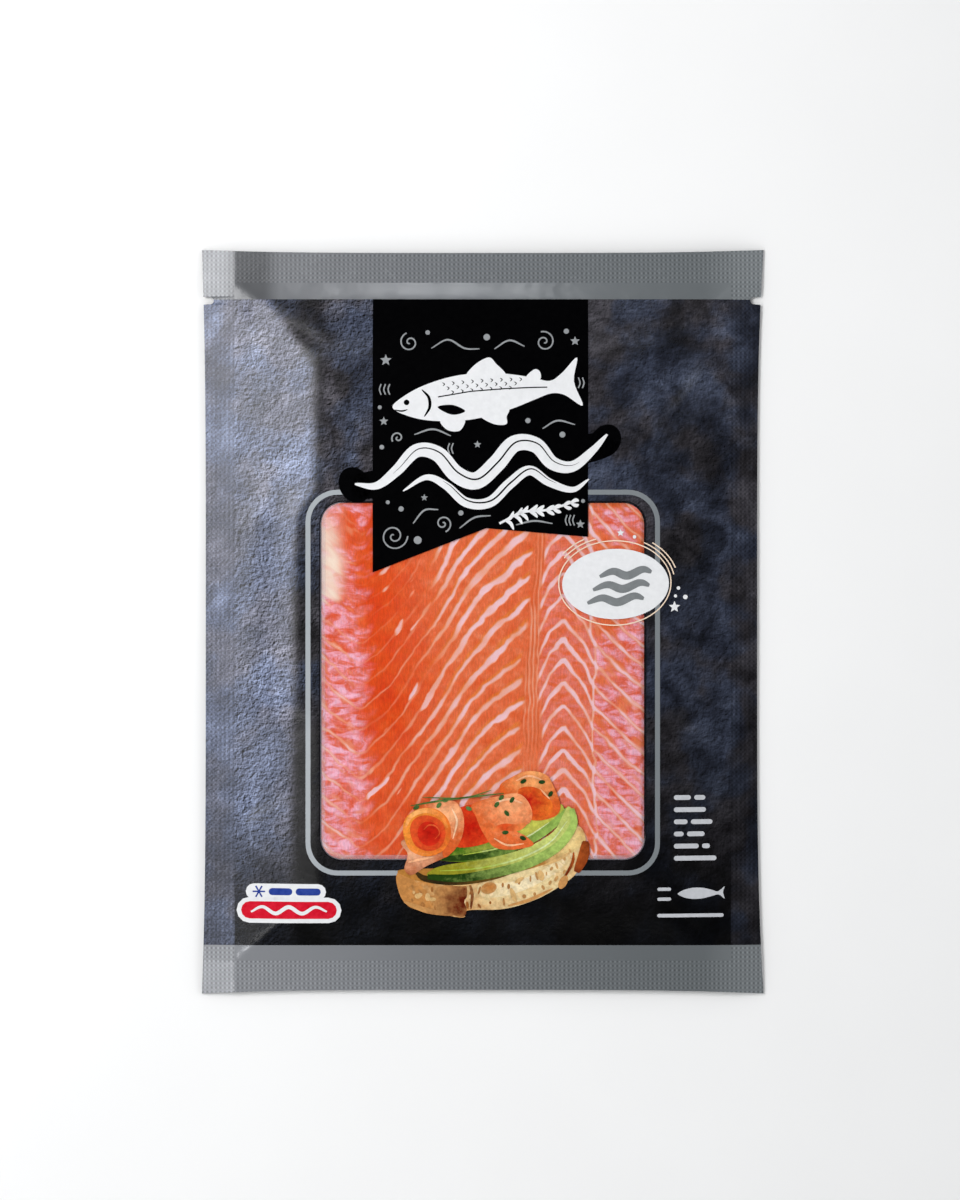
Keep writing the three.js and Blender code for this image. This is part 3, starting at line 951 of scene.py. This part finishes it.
def photo_camera():
    data = bpy.data.cameras.new("camera")
    camera = bpy.data.objects.new("camera", data)
    bpy.context.scene.collection.objects.link(camera)
    """A camera straight above, with the photo's frame at the height of the seals."""
    off_x = (PHOTO_WIDTH / 2 - PACK_CENTRE_PX[0]) * PHOTO_SCALE
    off_y = (PACK_CENTRE_PX[1] - PHOTO_HEIGHT / 2) * PHOTO_SCALE
    camera.location = Vector((off_x, off_y, CAMERA_HEIGHT)) * MM
    data.sensor_width = SENSOR
    data.lens = SENSOR * (CAMERA_HEIGHT - SEAL_HEIGHT) / (PHOTO_HEIGHT * PHOTO_SCALE)
    bpy.context.scene.camera = camera


# The print on the front

def taper(width, ends=0.15):
    """A brush stroke's width: full in the middle and fine at both ends."""
    return lambda share: width * (ends + (1 - ends) * np.sin(math.pi * np.clip(share, 0, 1)) ** 0.7)


def round_shape(*points):
    return smooth_path(points, 8, closed=True)


def stroke(width, *points, ends=0.35, steps=8):
    return ribbon(smooth_path(points, steps), taper(width, ends))


def dot(x, y, radius, steps):
    return ellipse(x, y, radius, radius, steps=steps)


FISH = (
    (-28, 0), (-24.5, 2.7), (-18, 5.3), (-9, 7.0), (0, 7.0), (8, 5.7), (15, 3.8), (20, 2.2), (24, 4.2),
    (29, 8.2), (27.2, 1.2), (29, -6.4), (24, -2.6), (20, -1.6), (15, -2.8), (8, -4.7), (0, -6.2), (-9, -6.5),
    (-18, -5.2), (-24.5, -2.8))
FISH_CENTRE = (0.6, 68)
FISH_TURN = 0.12


def fish(centre, turn, size):
    return at_tilt(smooth_path(np.array(FISH) * size, 5, closed=True), centre, turn)


def banner_art():
    black = ink_material("ink_black", (2, 2, 3), 1, 0.45)
    white = ink_material("ink_white", (236, 237, 239), 4)
    grey = ink_material("ink_grey", (150, 153, 156), 8)

    banner = np.array([(31.8, BAND_TOP), (31.7, 25.6), (1.0, 28.2), (-33.17, 14.9), (-33.17, BAND_TOP)])
    printed("banner", [banner], black, 3.2, 1.4)

    crest = smooth_path([
        (-38.5, 41.5), (-32, 41), (-26, 45.5), (-20, 51.5), (-13.5, 50.5), (-8, 44.5), (-2, 42.5), (4, 47.5),
        (9.5, 53.6), (16, 53.2), (21, 47.8), (27, 46.8), (33, 51.5), (37.5, 56.5)], 8)
    trough = smooth_path([
        (-24, 39.4), (-17, 43.5), (-11, 41), (-5, 36), (2, 36), (8, 41.5), (14, 45.6), (20, 42), (27, 39.8),
        (32, 43)], 8)
    halo = ribbon(smooth_path([(-39.5, 40.8), (-32, 41.5), (0, 47), (33, 52.5), (38, 56)], 10),
                  lambda share: 6 + 3.5 * np.sin(math.pi * share))
    ends = [ellipse(-38.6, 41.2, 4.6, 5.6, 0.5), ellipse(37, 54.5, 4.4, 5.2, -0.6)]
    printed("banner_halo", [halo, *ends], black, 2.2, 1.4)

    fins = [at_tilt(smooth_path(fin, 6, closed=True), FISH_CENTRE, FISH_TURN) for fin in (
        ((-5, 6.2), (-2, 9.6), (2.5, 11.4), (4.6, 9.2), (7, 5.4), (1, 5.6)),
        ((-2, -5.4), (1.5, -8.6), (5.4, -9.2), (5.8, -7), (6.4, -4.6)),
        ((13, 4.0), (15.8, 6.2), (17.4, 5.2), (17, 3.0)),
        ((-14, -5.6), (-12.4, -8.8), (-8.6, -9.4), (-7, -6)))]
    sprig = smooth_path([(5, 29.6), (12, 33), (20, 33.8), (28.5, 36.6)], 8)
    printed("banner_fins", [*fins, ribbon(sprig, 0.7)], white, 4.4)
    whites = [fish(FISH_CENTRE, FISH_TURN, 1.0)]
    whites += [ribbon(crest, taper(5.2, 0.1)), ribbon(trough, taper(3.2, 0.1))]
    for share in np.linspace(0.12, 0.95, 9):
        x, y = sprig[int(share * (len(sprig) - 1))]
        for side in (-1, 1):
            tip = (x + 2.6, y + side * 2.7 * (1.15 - share))
            whites.append(stroke(1.1, (x, y), (x + 1.6, y + side * 0.8), tip, ends=0.2, steps=6))
    printed("banner_white", whites, white, 5)

    marks = [ellipse(-23.6, 0.9, 0.85, 0.85, steps=20),
             stroke(0.9, (-18.6, 4.2), (-16.8, 1.6), (-16.9, -1.4), (-18.8, -4.0), ends=0.2, steps=10),
             stroke(0.5, (-27.6, -0.9), (-25.4, -1.5), (-23.6, -1.3), ends=0.3, steps=10),
             round_shape((-14.5, -1.6), (-10, -1.5), (-6.4, -3.8), (-10.5, -4.4)),
             ribbon([(-14, 1.4), (-4, 1.9), (6, 1.5), (14, 0.9), (19, 0.4)], 0.35)]
    for row in range(3):
        for column in range(9 - row):
            x, y = -12.2 + 2.9 * column + 1.2 * row, 5.0 - 1.35 * row - 0.02 * column ** 2
            marks.append(stroke(0.3, (x, y + 0.55), (x + 0.6, y), (x, y - 0.55), ends=0.4, steps=4))
    marks = [at_tilt(mark, FISH_CENTRE, FISH_TURN) for mark in marks]
    marks += [ribbon(path[14:-14] + 0.5, taper(0.5, 0.1)) for path in (crest, trough)]
    printed("banner_black", marks, black, 6)

    doodles = [ribbon(spiral(*curl), 0.45) for curl in (
        (-22, 84.2, 3.0, 1.6, 0.9, -1), (18.5, 84.4, 3.2, 1.7, 0.6, 1), (-26.8, 25.8, 4.2, 1.9, 0.1, 1),
        (-12, 29.6, 2.6, 1.6, 0.4, -1), (-25.6, 55.4, 1.9, 1.4, 0.2, 1))]
    doodles += [stroke(0.55, *points, ends=0.5) for points in (
        ((-15.5, 82.4), (-10.5, 85), (-5.5, 82.4), (-1, 82.2)), ((3.5, 82.2), (8, 84.8), (12.6, 83)),
        ((-21, 29.6), (-17.6, 33.6), (-13.4, 33.8)), ((-7, 28.2), (-2.5, 31.4), (2.4, 32)),
        ((-20.6, 56.4), (-15, 58), (-9.6, 56)), ((18, 58.2), (22.5, 60.6), (27.8, 59.4)),
        ((10, 29.2), (15.5, 30.4), (21, 29.6)))]
    for cx, cy, away, count in (
            (-30.6, 70, 1.3, 3), (30, 72, -1.2, 2), (25.4, 30.6, 1.1, 3), (-10, 52.2, 1.1, 2)):
        for x in cx + away * np.arange(count):
            bow = smooth_path([(x, cy + 1.6), (x - 0.5 * np.sign(away), cy), (x, cy - 1.6)], 5)
            doodles.append(ribbon(bow, 0.4))
    doodles += [star(*spot) for spot in (
        (-29.2, 78.8, 1.8), (27.8, 84.6, 1.5), (-29.8, 60.4, 1.4), (-17.6, 37.4, 1.1), (29.4, 29.4, 1.4),
        (-1.6, 53.4, 1.2))]
    doodles += [dot(*spot, 16) for spot in (
        (-16.6, 87.2, 0.7), (1.2, 85.8, 1.0), (25.2, 87.6, 0.8), (13.6, 60.6, 0.8), (-30.4, 52.6, 0.7),
        (-19.6, 24.6, 1.2), (-24.6, 34, 0.8), (-6.6, 32.8, 0.8), (-28.6, 36, 0.6), (24, 56.4, 0.9),
        (30.2, 36.4, 0.6), (-31, 64.6, 0.6))]
    printed("banner_grey", doodles, grey, 4.2)
    return white


def badge(white):
    """Two rings with short arcs beside them, and three wavy slices on a white oval."""
    x, y, line = 39.8, 11.7, 0.35
    rings = [[ellipse(x, y, 17.1 - inset, 12.9 - inset, 0.02, 90) for inset in (0, line)]]
    for shift, start, stop in ((1.1, 0.30, 0.41), (2.2, 0.33, 0.40), (1.1, 0.03, 0.17), (2.2, 0.05, 0.15)):
        angles = np.linspace(start, stop, 16) * TURN
        arc = np.stack([x + (17 + shift) * np.cos(angles), y + (12.8 + shift) * np.sin(angles)], -1)
        rings.append(ribbon(arc, line))
    printed("badge_rings", rings, ink_material("ink_cream", (248, 224, 200), 5), 2.2)
    whites = [ellipse(40.0, 11.4, 16.1, 10.6, 0.02, 70), star(41.5, 26.8, 1.2), star(57.8, 4.5, 1.8)]
    for spot in ((45.7, 25.6, 0.55), (59.0, 10.2, 0.55), (58.1, 7.8, 0.5), (61.1, 7.5, 0.7)):
        whites.append(dot(*spot, 14))
    printed("badge_white", whites, white, 3)
    slices = []
    for x, y, size in ((31.5, 5.6, 1.0), (33.2, 9.6, 1.0), (35.2, 13.6, 0.92)):
        wave = np.array([(0, 0), (4.5, 1.6), (9, 0.3), (14, 2.2), (17, 1.4)])
        slices.append(stroke(2.5, *(wave * (size, 1) + (x, y))))
    printed("badge_grey", slices, ink_material("ink_mid_grey", (128, 132, 134), 5), 4)


def picture_ink(name, inner, outer, centre, reach):
    """Ink that turns from one colour to another with the distance from a place in the picture."""
    look = Look("ink_" + name, Roughness=0.4, Specular_IOR_Level=0.05)
    flat = look.vector("MULTIPLY", look.place, (1, 1, 0))
    away = look.vector("DISTANCE", flat, (*centre, 0)).node.outputs["Value"]
    share = look.plus(look.times(away, 1 / reach), look.span(look.noise(2.4, 4, 0.62), 0, 1, -0.4, 0.4))
    colour = look.ramp(share, ((0.1, inner), (0.95, outer)))
    pores = look.noise(1.6, 5, 0.7, 0.4)
    grain = look.span(pores, 0.3, 0.7, 1 - PICTURE_GRAIN, 1 + PICTURE_GRAIN)
    look.use("Base Color", look.shade(colour, grain))
    look.bump(look.noise(9, 2), 0.1)
    return look.material


def crumbs(count, offset, width, random):
    """Short strokes along the bread's cut face, at that distance above its middle line."""
    middle = smooth_path([(-21, -82.4), (-8, -84.2), (6, -81.8), (18, -78.2), (26.5, -71.5)], 12)
    strokes = []
    for index in np.linspace(0, len(middle) - 1, count).astype(int):
        x, y = middle[index] + random.uniform((-0.4, offset - 0.7), (0.4, offset + 0.7))
        lean, rise = random.uniform((-0.5, 0.4), (0.5, 1.2))
        thick = width * random.uniform(0.6, 1.4)
        strokes.append(stroke(thick, (x - lean, y - rise), (x, y), (x + lean, y + rise)))
    return strokes


def canape():
    """The serving suggestion: rolled slices with chives, on avocado and bread."""
    random = np.random.default_rng(5)
    # Each layer's name, inner and outer colour, the centre and reach of the change between them, and shapes
    layers = (
        ("bread", (238, 214, 160), (196, 134, 72), (14, -75), 34, [round_shape(
            (-25, -75), (-25.4, -81), (-22, -86), (-14, -87.8), (-6, -89.2), (-4.4, -87), (6, -86.6),
            (15.2, -84), (23, -79.8), (28.6, -75), (31, -66), (28, -61.4), (18, -66), (4, -72), (-14, -75))]),
        ("bread_top", (236, 206, 140), (184, 124, 56), (26, -66), 14, [round_shape(
            (24, -62.5), (27.4, -61.6), (31, -65.2), (27.4, -69.2), (17, -73.6), (6, -76.2), (-4, -78),
            (-16, -78.4), (-22, -77.2), (-24.4, -74.6), (0, -73.6), (16, -68))]),
        ("bread_light", (246, 228, 188), (226, 200, 148), (13, -78), 14, [round_shape(
            (-1, -79), (8, -78.4), (17, -75.4), (24, -70.6), (25.4, -72.4), (18.6, -77.8), (9, -82),
            (0, -83))]),
        ("crumb_light", (248, 230, 190), (224, 182, 124), (14, -76), 30, crumbs(21, 0.6, 1.2, random)),
        ("crumb_dark", (150, 88, 38), (206, 158, 98), (-6, -84), 34,
         crumbs(19, 2.2, 0.7, random) + crumbs(17, -2.1, 0.9, random)),
        ("crust", (176, 84, 34), (122, 50, 18), (28, -70), 6, [
            stroke(3.2, (31, -66), (30.3, -70.6), (28.2, -75.4), ends=0.5),
            stroke(0.9, (27.4, -69.4), (26.8, -73), (23.4, -79), ends=0.3)]),
        ("toasted", (96, 28, 8), (203, 147, 87), (-6, -85), 11, [
            round_shape((-14, -80.4), (-8.6, -79.4), (-5.2, -79.2), (-4.8, -82.4), (-5.6, -84.4),
                        (-4.9, -86.6), (-5.8, -88.9), (-9.6, -88.3), (-14, -86.9)),
            stroke(1.6, (-23.6, -84.4), (-17, -87), (-9, -88.4)),
            stroke(0.9, (-4, -78.6), (-3.2, -82), (-3.6, -86.6)),
            stroke(1.0, (7.6, -85.6), (14, -83.8), (21, -80.4)), ellipse(24.2, -78.4, 1.2, 2.2, -0.5)]),
        ("browned", (186, 120, 60), (218, 176, 116), (1.8, -80), 5, [
            ellipse(1.8, -80.2, 2.4, 1.7, 0.3), ellipse(-19.6, -82.6, 0.9, 0.8),
            stroke(1.5, (8.4, -80.2), (10, -84.4)), ellipse(11, -77.8, 1.6, 0.6, 0.5),
            ellipse(17.5, -76.4, 1.0, 1.6, 0.3), ellipse(-15.2, -83.6, 1.1, 0.6),
            stroke(0.8, (-13, -78.4), (-6, -79.2), (2, -77.4)),
            stroke(0.9, (18, -73.6), (23, -71.4), (26.4, -69.4))]),
        ("shade", (46, 34, 16), (96, 70, 26), (-14, -77), 16, [
            stroke(2.2, (-20, -75.6), (-17, -77.4), (-8, -78.2), (2, -77), (12, -74.2)),
            stroke(1.8, (-13, -71.6), (-4, -71.4), (6, -69.6))]),
        ("avocado_back", (196, 196, 84), (72, 112, 26), (16, -62), 27, [stroke(
            6.4, (-13, -70.6), (-4, -69.6), (6, -67), (14, -62.4), (20.4, -58), (24.4, -56))]),
        ("avocado_back_rind", (148, 180, 84), (36, 62, 16), (22, -60), 30, [stroke(
            2.8, (-12.4, -71.4), (-3, -70.6), (8, -68.2), (16.6, -64.2), (23, -59.4), (25.4, -56.4))]),
        ("avocado_front", (200, 210, 118), (146, 142, 36), (20, -64), 30, [round_shape(
            (-16.6, -75.6), (-12, -73.4), (0, -71.6), (9, -69.4), (16, -66.6), (21.6, -62.8), (24.2, -58),
            (25.8, -55.6), (28, -58), (27.6, -62), (23, -68), (14, -72.4), (2, -75.6), (-8, -77),
            (-15.4, -77))]),
        ("avocado_front_rind", (172, 200, 102), (34, 62, 14), (24, -62), 37, [stroke(
            2.9, (-16.6, -76.8), (-8, -77.2), (2, -75.9), (13, -73), (22.4, -67.8), (27.2, -61.4),
            (26.8, -56.2), ends=0.5)]),
        ("avocado_edge", (220, 232, 176), (168, 188, 70), (22, -66), 26, [
            stroke(0.5, (-13, -75), (-2, -74.3), (10, -71.6), (20, -66.6), (25.4, -60)),
            stroke(0.5, (-6, -70.2), (4, -68.3), (13, -64.9), (20, -60.4))]),
        ("roll_skirt", (240, 176, 136), (176, 92, 52), (-20, -69), 9, [round_shape(
            (-24.4, -66), (-22.6, -70), (-23.6, -74.4), (-21.4, -76.2), (-17, -73.6), (-9.6, -69.8),
            (-9, -66), (-16, -64))]),
        ("roll_back", (244, 164, 100), (220, 96, 40), (15.4, -46.4), 11, [round_shape(
            (5, -50), (8.6, -46.8), (13.8, -44.9), (19, -46), (21.4, -49.6), (23.4, -55.4), (21.6, -58.6),
            (15.4, -59.8), (9, -57))]),
        ("roll_back_heart", (194, 30, 18), (240, 122, 42), (13.6, -54.2), 9, [round_shape(
            (10.6, -51), (14.4, -49.6), (18.6, -51.4), (21, -55), (20.4, -58), (16.6, -59.6),
            (13.6, -57.4))]),
        ("recess", (188, 28, 10), (224, 70, 30), (-4, -62), 8, [round_shape(
            (-8.4, -57), (-3, -55), (0.4, -57), (1.8, -62), (2, -66.2), (-7.6, -67.8), (-8.8, -62))]),
        ("roll_middle", (246, 164, 112), (226, 106, 52), (9, -54.6), 12, [round_shape(
            (-3.2, -55), (4, -52.6), (11, -51.8), (14.6, -56), (14.2, -60.4), (9.6, -62.4), (13, -64.6),
            (15.2, -67.2), (9, -68.6), (3.4, -67.8), (0, -63.4), (-2, -58.8))]),
        ("roll_middle_fold", (216, 78, 34), (238, 134, 72), (7, -61.6), 5, [stroke(
            2.2, (2.6, -62.6), (6.4, -61.8), (10.2, -62), (13, -60.8))]),
        ("roll_left_body", (246, 176, 126), (214, 96, 44), (-10.6, -58), 9, [round_shape(
            (-21, -56.4), (-15, -54.4), (-8.6, -54), (-5.8, -58.4), (-6.2, -64.6), (-8.8, -69), (-12, -70.6),
            (-12.4, -62))]),
        ("roll_left", (228, 104, 40), (238, 146, 54), (-12.4, -64.8), 12, [round_shape(
            (-24, -62.6), (-22.8, -58.6), (-18.6, -56.2), (-13.6, -56.6), (-10.2, -60), (-9.7, -65),
            (-12.4, -69.2), (-17.2, -70.6), (-22.2, -68.4))]),
        ("roll_left_rim", (250, 178, 104), (238, 138, 62), (-20, -58), 7, [
            stroke(1.5, (-23.6, -62.4), (-21.4, -58.4), (-17.2, -56.8), (-12.6, -58.4), (-10.6, -62)),
            stroke(0.8, (-22.6, -67), (-20, -69.4), (-16, -70))]),
        ("roll_left_ring", (206, 46, 22), (222, 84, 38), (-16, -63.8), 6, [round_shape(
            (-21.9, -62.6), (-20.4, -59.2), (-16.4, -58.3), (-12.4, -60.2), (-11.2, -64), (-12.8, -67.8),
            (-16.6, -69), (-20.4, -67.2))]),
        ("roll_left_heart", (178, 20, 10), (212, 46, 24), (-15.6, -63.4), 4, [round_shape(
            (-19.5, -62.6), (-17.6, -60.3), (-14.3, -60.8), (-12.6, -63.7), (-13.8, -66.6), (-16.8, -67.4),
            (-19.1, -65.6))]),
        ("roll_left_swirl", (226, 96, 48), (214, 70, 34), (-15, -62), 3, [
            stroke(0.5, (-17.8, -62.6), (-16.2, -61.2), (-14, -61.6), (-13, -63.6), (-14.4, -65.4)),
            stroke(0.4, (-20.4, -66.4), (-18.2, -68.4), (-14.6, -68.6))]),
        ("gloss", (252, 212, 174), (248, 182, 136), (-2, -58), 16, [
            stroke(0.6, (-9.4, -56), (-7.8, -60), (-9, -65.4)),
            stroke(0.7, (3.8, -54.4), (8, -53.4), (12, -54.6)),
            stroke(0.6, (10, -47.8), (14, -46.4), (18.4, -47.8)),
            stroke(0.6, (3.4, -65.2), (7.4, -67.2), (12.4, -66.8)),
            stroke(0.8, (-22.4, -72.4), (-19, -71.6), (-15, -70.8)),
            stroke(0.5, (17.4, -50.4), (20.2, -53.4))]),
        ("chives", (96, 128, 66), (34, 66, 28), (-8, -53), 22, [
            stroke(0.6, (-21.8, -55.4), (-11, -53.6), (6.4, -51.6)),
            stroke(0.45, (-18.2, -52.8), (-6, -53), (2.6, -50.7))]
            + [ellipse(cx, cy, 1.0, 0.6, turn, 14) for cx, cy, turn in (
                (-20, -55.9, 0.4), (-13.2, -55.2, 0.9), (-4.2, -56.2, -0.5), (8.8, -53.6, 1.0),
                (7.2, -57.6, -0.9), (5.6, -52.9, 0.8), (6.8, -63.4, 0.1), (12.1, -65.1, -0.4),
                (20.4, -51.8, 1.0), (17.8, -48.2, 0.1), (12.2, -48.0, 0.5), (4.2, -55, 0.9),
                (-11.2, -53.7, 0.3))]),
    )
    for layer, (name, inner, outer, centre, reach, shapes) in enumerate(layers):
        ink = picture_ink(name, inner, outer, centre, reach)
        printed("picture_" + name, shapes, ink, PICTURE_BASE + PICTURE_STEP * layer, 1.1)


def small_print():
    """Bars in place of the words and of the weight, and a small fish."""
    bars = []
    for row, words in enumerate(((5.2, 3.4), (9.8,), (4.2, 6.6), (3.0, 5.4), (7.6, 2.4), (13.0,))):
        x = 57.6
        for word in words:
            bars.append(bar(x, x + word, -53.0 - 3.66 * row, 1.45))
            x += word + 1.0
    bars += [bar(52.6, 56.8, y, 1.0) for y in (-80.6, -83.6)] + [bar(52.6, 72.8, -88.6, 1.1)]
    bars.append(fish((65.8, -82.0), 0.0, 0.25))
    printed("small_print", bars, ink_material("ink_pale", (196, 198, 203), 6), 1.6, 1.4)


def emblem(white):
    """A plain badge of blue and red bars on white, with a snowflake."""
    printed("emblem_white", [bar(-71.6, -47.2, -81.4, 4.8), bar(-74.4, -42.6, -87.0, 7.8)], white, 1.6, 1.2)
    x, y, reach = -67.6, -81.4, 1.9
    blues = [ribbon([(x, y), (x + reach * math.cos(angle), y + reach * math.sin(angle))], 0.45)
             for angle in np.arange(6) / 6 * TURN]
    blues += [bar(-64.6, -57.4, y, 2.1), bar(-56.4, -48.8, y, 2.1)]
    printed("emblem_blue", blues, ink_material("ink_blue", (44, 66, 148), 8), 2.8, 1.2)
    red = ink_material("ink_red", (214, 26, 48), 10)
    printed("emblem_red", [bar(-73.0, -44.0, -87.0, 5.2)], red, 2.8, 1.2)
    wave = stroke(1.2, (-70, -87.6), (-66.5, -86), (-62.5, -88), (-58.5, -86), (-54.5, -88), (-50.5, -86),
                  (-47, -87.4), ends=0.4)
    printed("emblem_wave", [wave], white, 4, 1.2)


def frame_lines():
    """The silver line round the window, the window's dark edge, and a pale painted highlight along its inner
    edge.
    """
    silver = Look("ink_silver", Roughness=0.4)
    # The line is lighter towards the left, painted light as on the lit slope beside it
    silver.use("Base Color", silver.ramp(silver.span(silver.axis("X"), -54, 54), (
        (0.0, (164, 170, 175)), (0.35, (146, 152, 156)), (1.0, (124, 130, 134)))))
    loops = [outline(*FRAME_LINE, inset) for inset in (0, FRAME_LINE_WIDTH)]
    printed("frame_line", [loops], silver.material, 1)
    dark = ink_material("ink_dark_edge", (14, 14, 19), 3)
    printed("window_edge", [[window_outline(-WINDOW_LIP), window_outline()]], dark, 1)
    # Painted highlight: a pale, half-clear strip along the window's left and bottom edges, as if the film's
    # edge caught the light
    inner = outline(WINDOW_HALF_WIDTH - EDGE_HIGHLIGHT_WIDTH / 2, WINDOW_TOP - EDGE_HIGHLIGHT_INSET, WINDOW_BOTTOM + EDGE_HIGHLIGHT_WIDTH,
                    WINDOW_RADIUS) + (EDGE_HIGHLIGHT_WIDTH / 2 - EDGE_HIGHLIGHT_INSET, 0)
    pale = Look("painted_film_highlight", Base_Color=(*linear((236, 222, 232)), 1), Roughness=0.3, Alpha=0.2)
    points, faces = conform([window_outline(), inner], INK_LIFT, WINDOW_CELL)
    place(mesh_object("window_edge_highlight", points, faces, pale.material), "window_film", "clear_film")


def main():
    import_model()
    bpy.context.scene.view_settings.view_transform = "Standard"
    photo_camera()
    studio()

    laminate = laminate_material("printed_laminate")
    front_panel(laminate)
    back_panel(laminate)
    for side, word in ((-1, "left"), (1, "right")):
        side_seal("seal_" + word, side, laminate)
    for side, word in ((-1, "bottom"), (1, "top")):
        end_seal("seal_" + word, side, laminate)
    salmon_slab()
    clear_window()
    frame_lines()
    white = banner_art()
    badge(white)
    canape()
    small_print()
    emblem(white)


main()
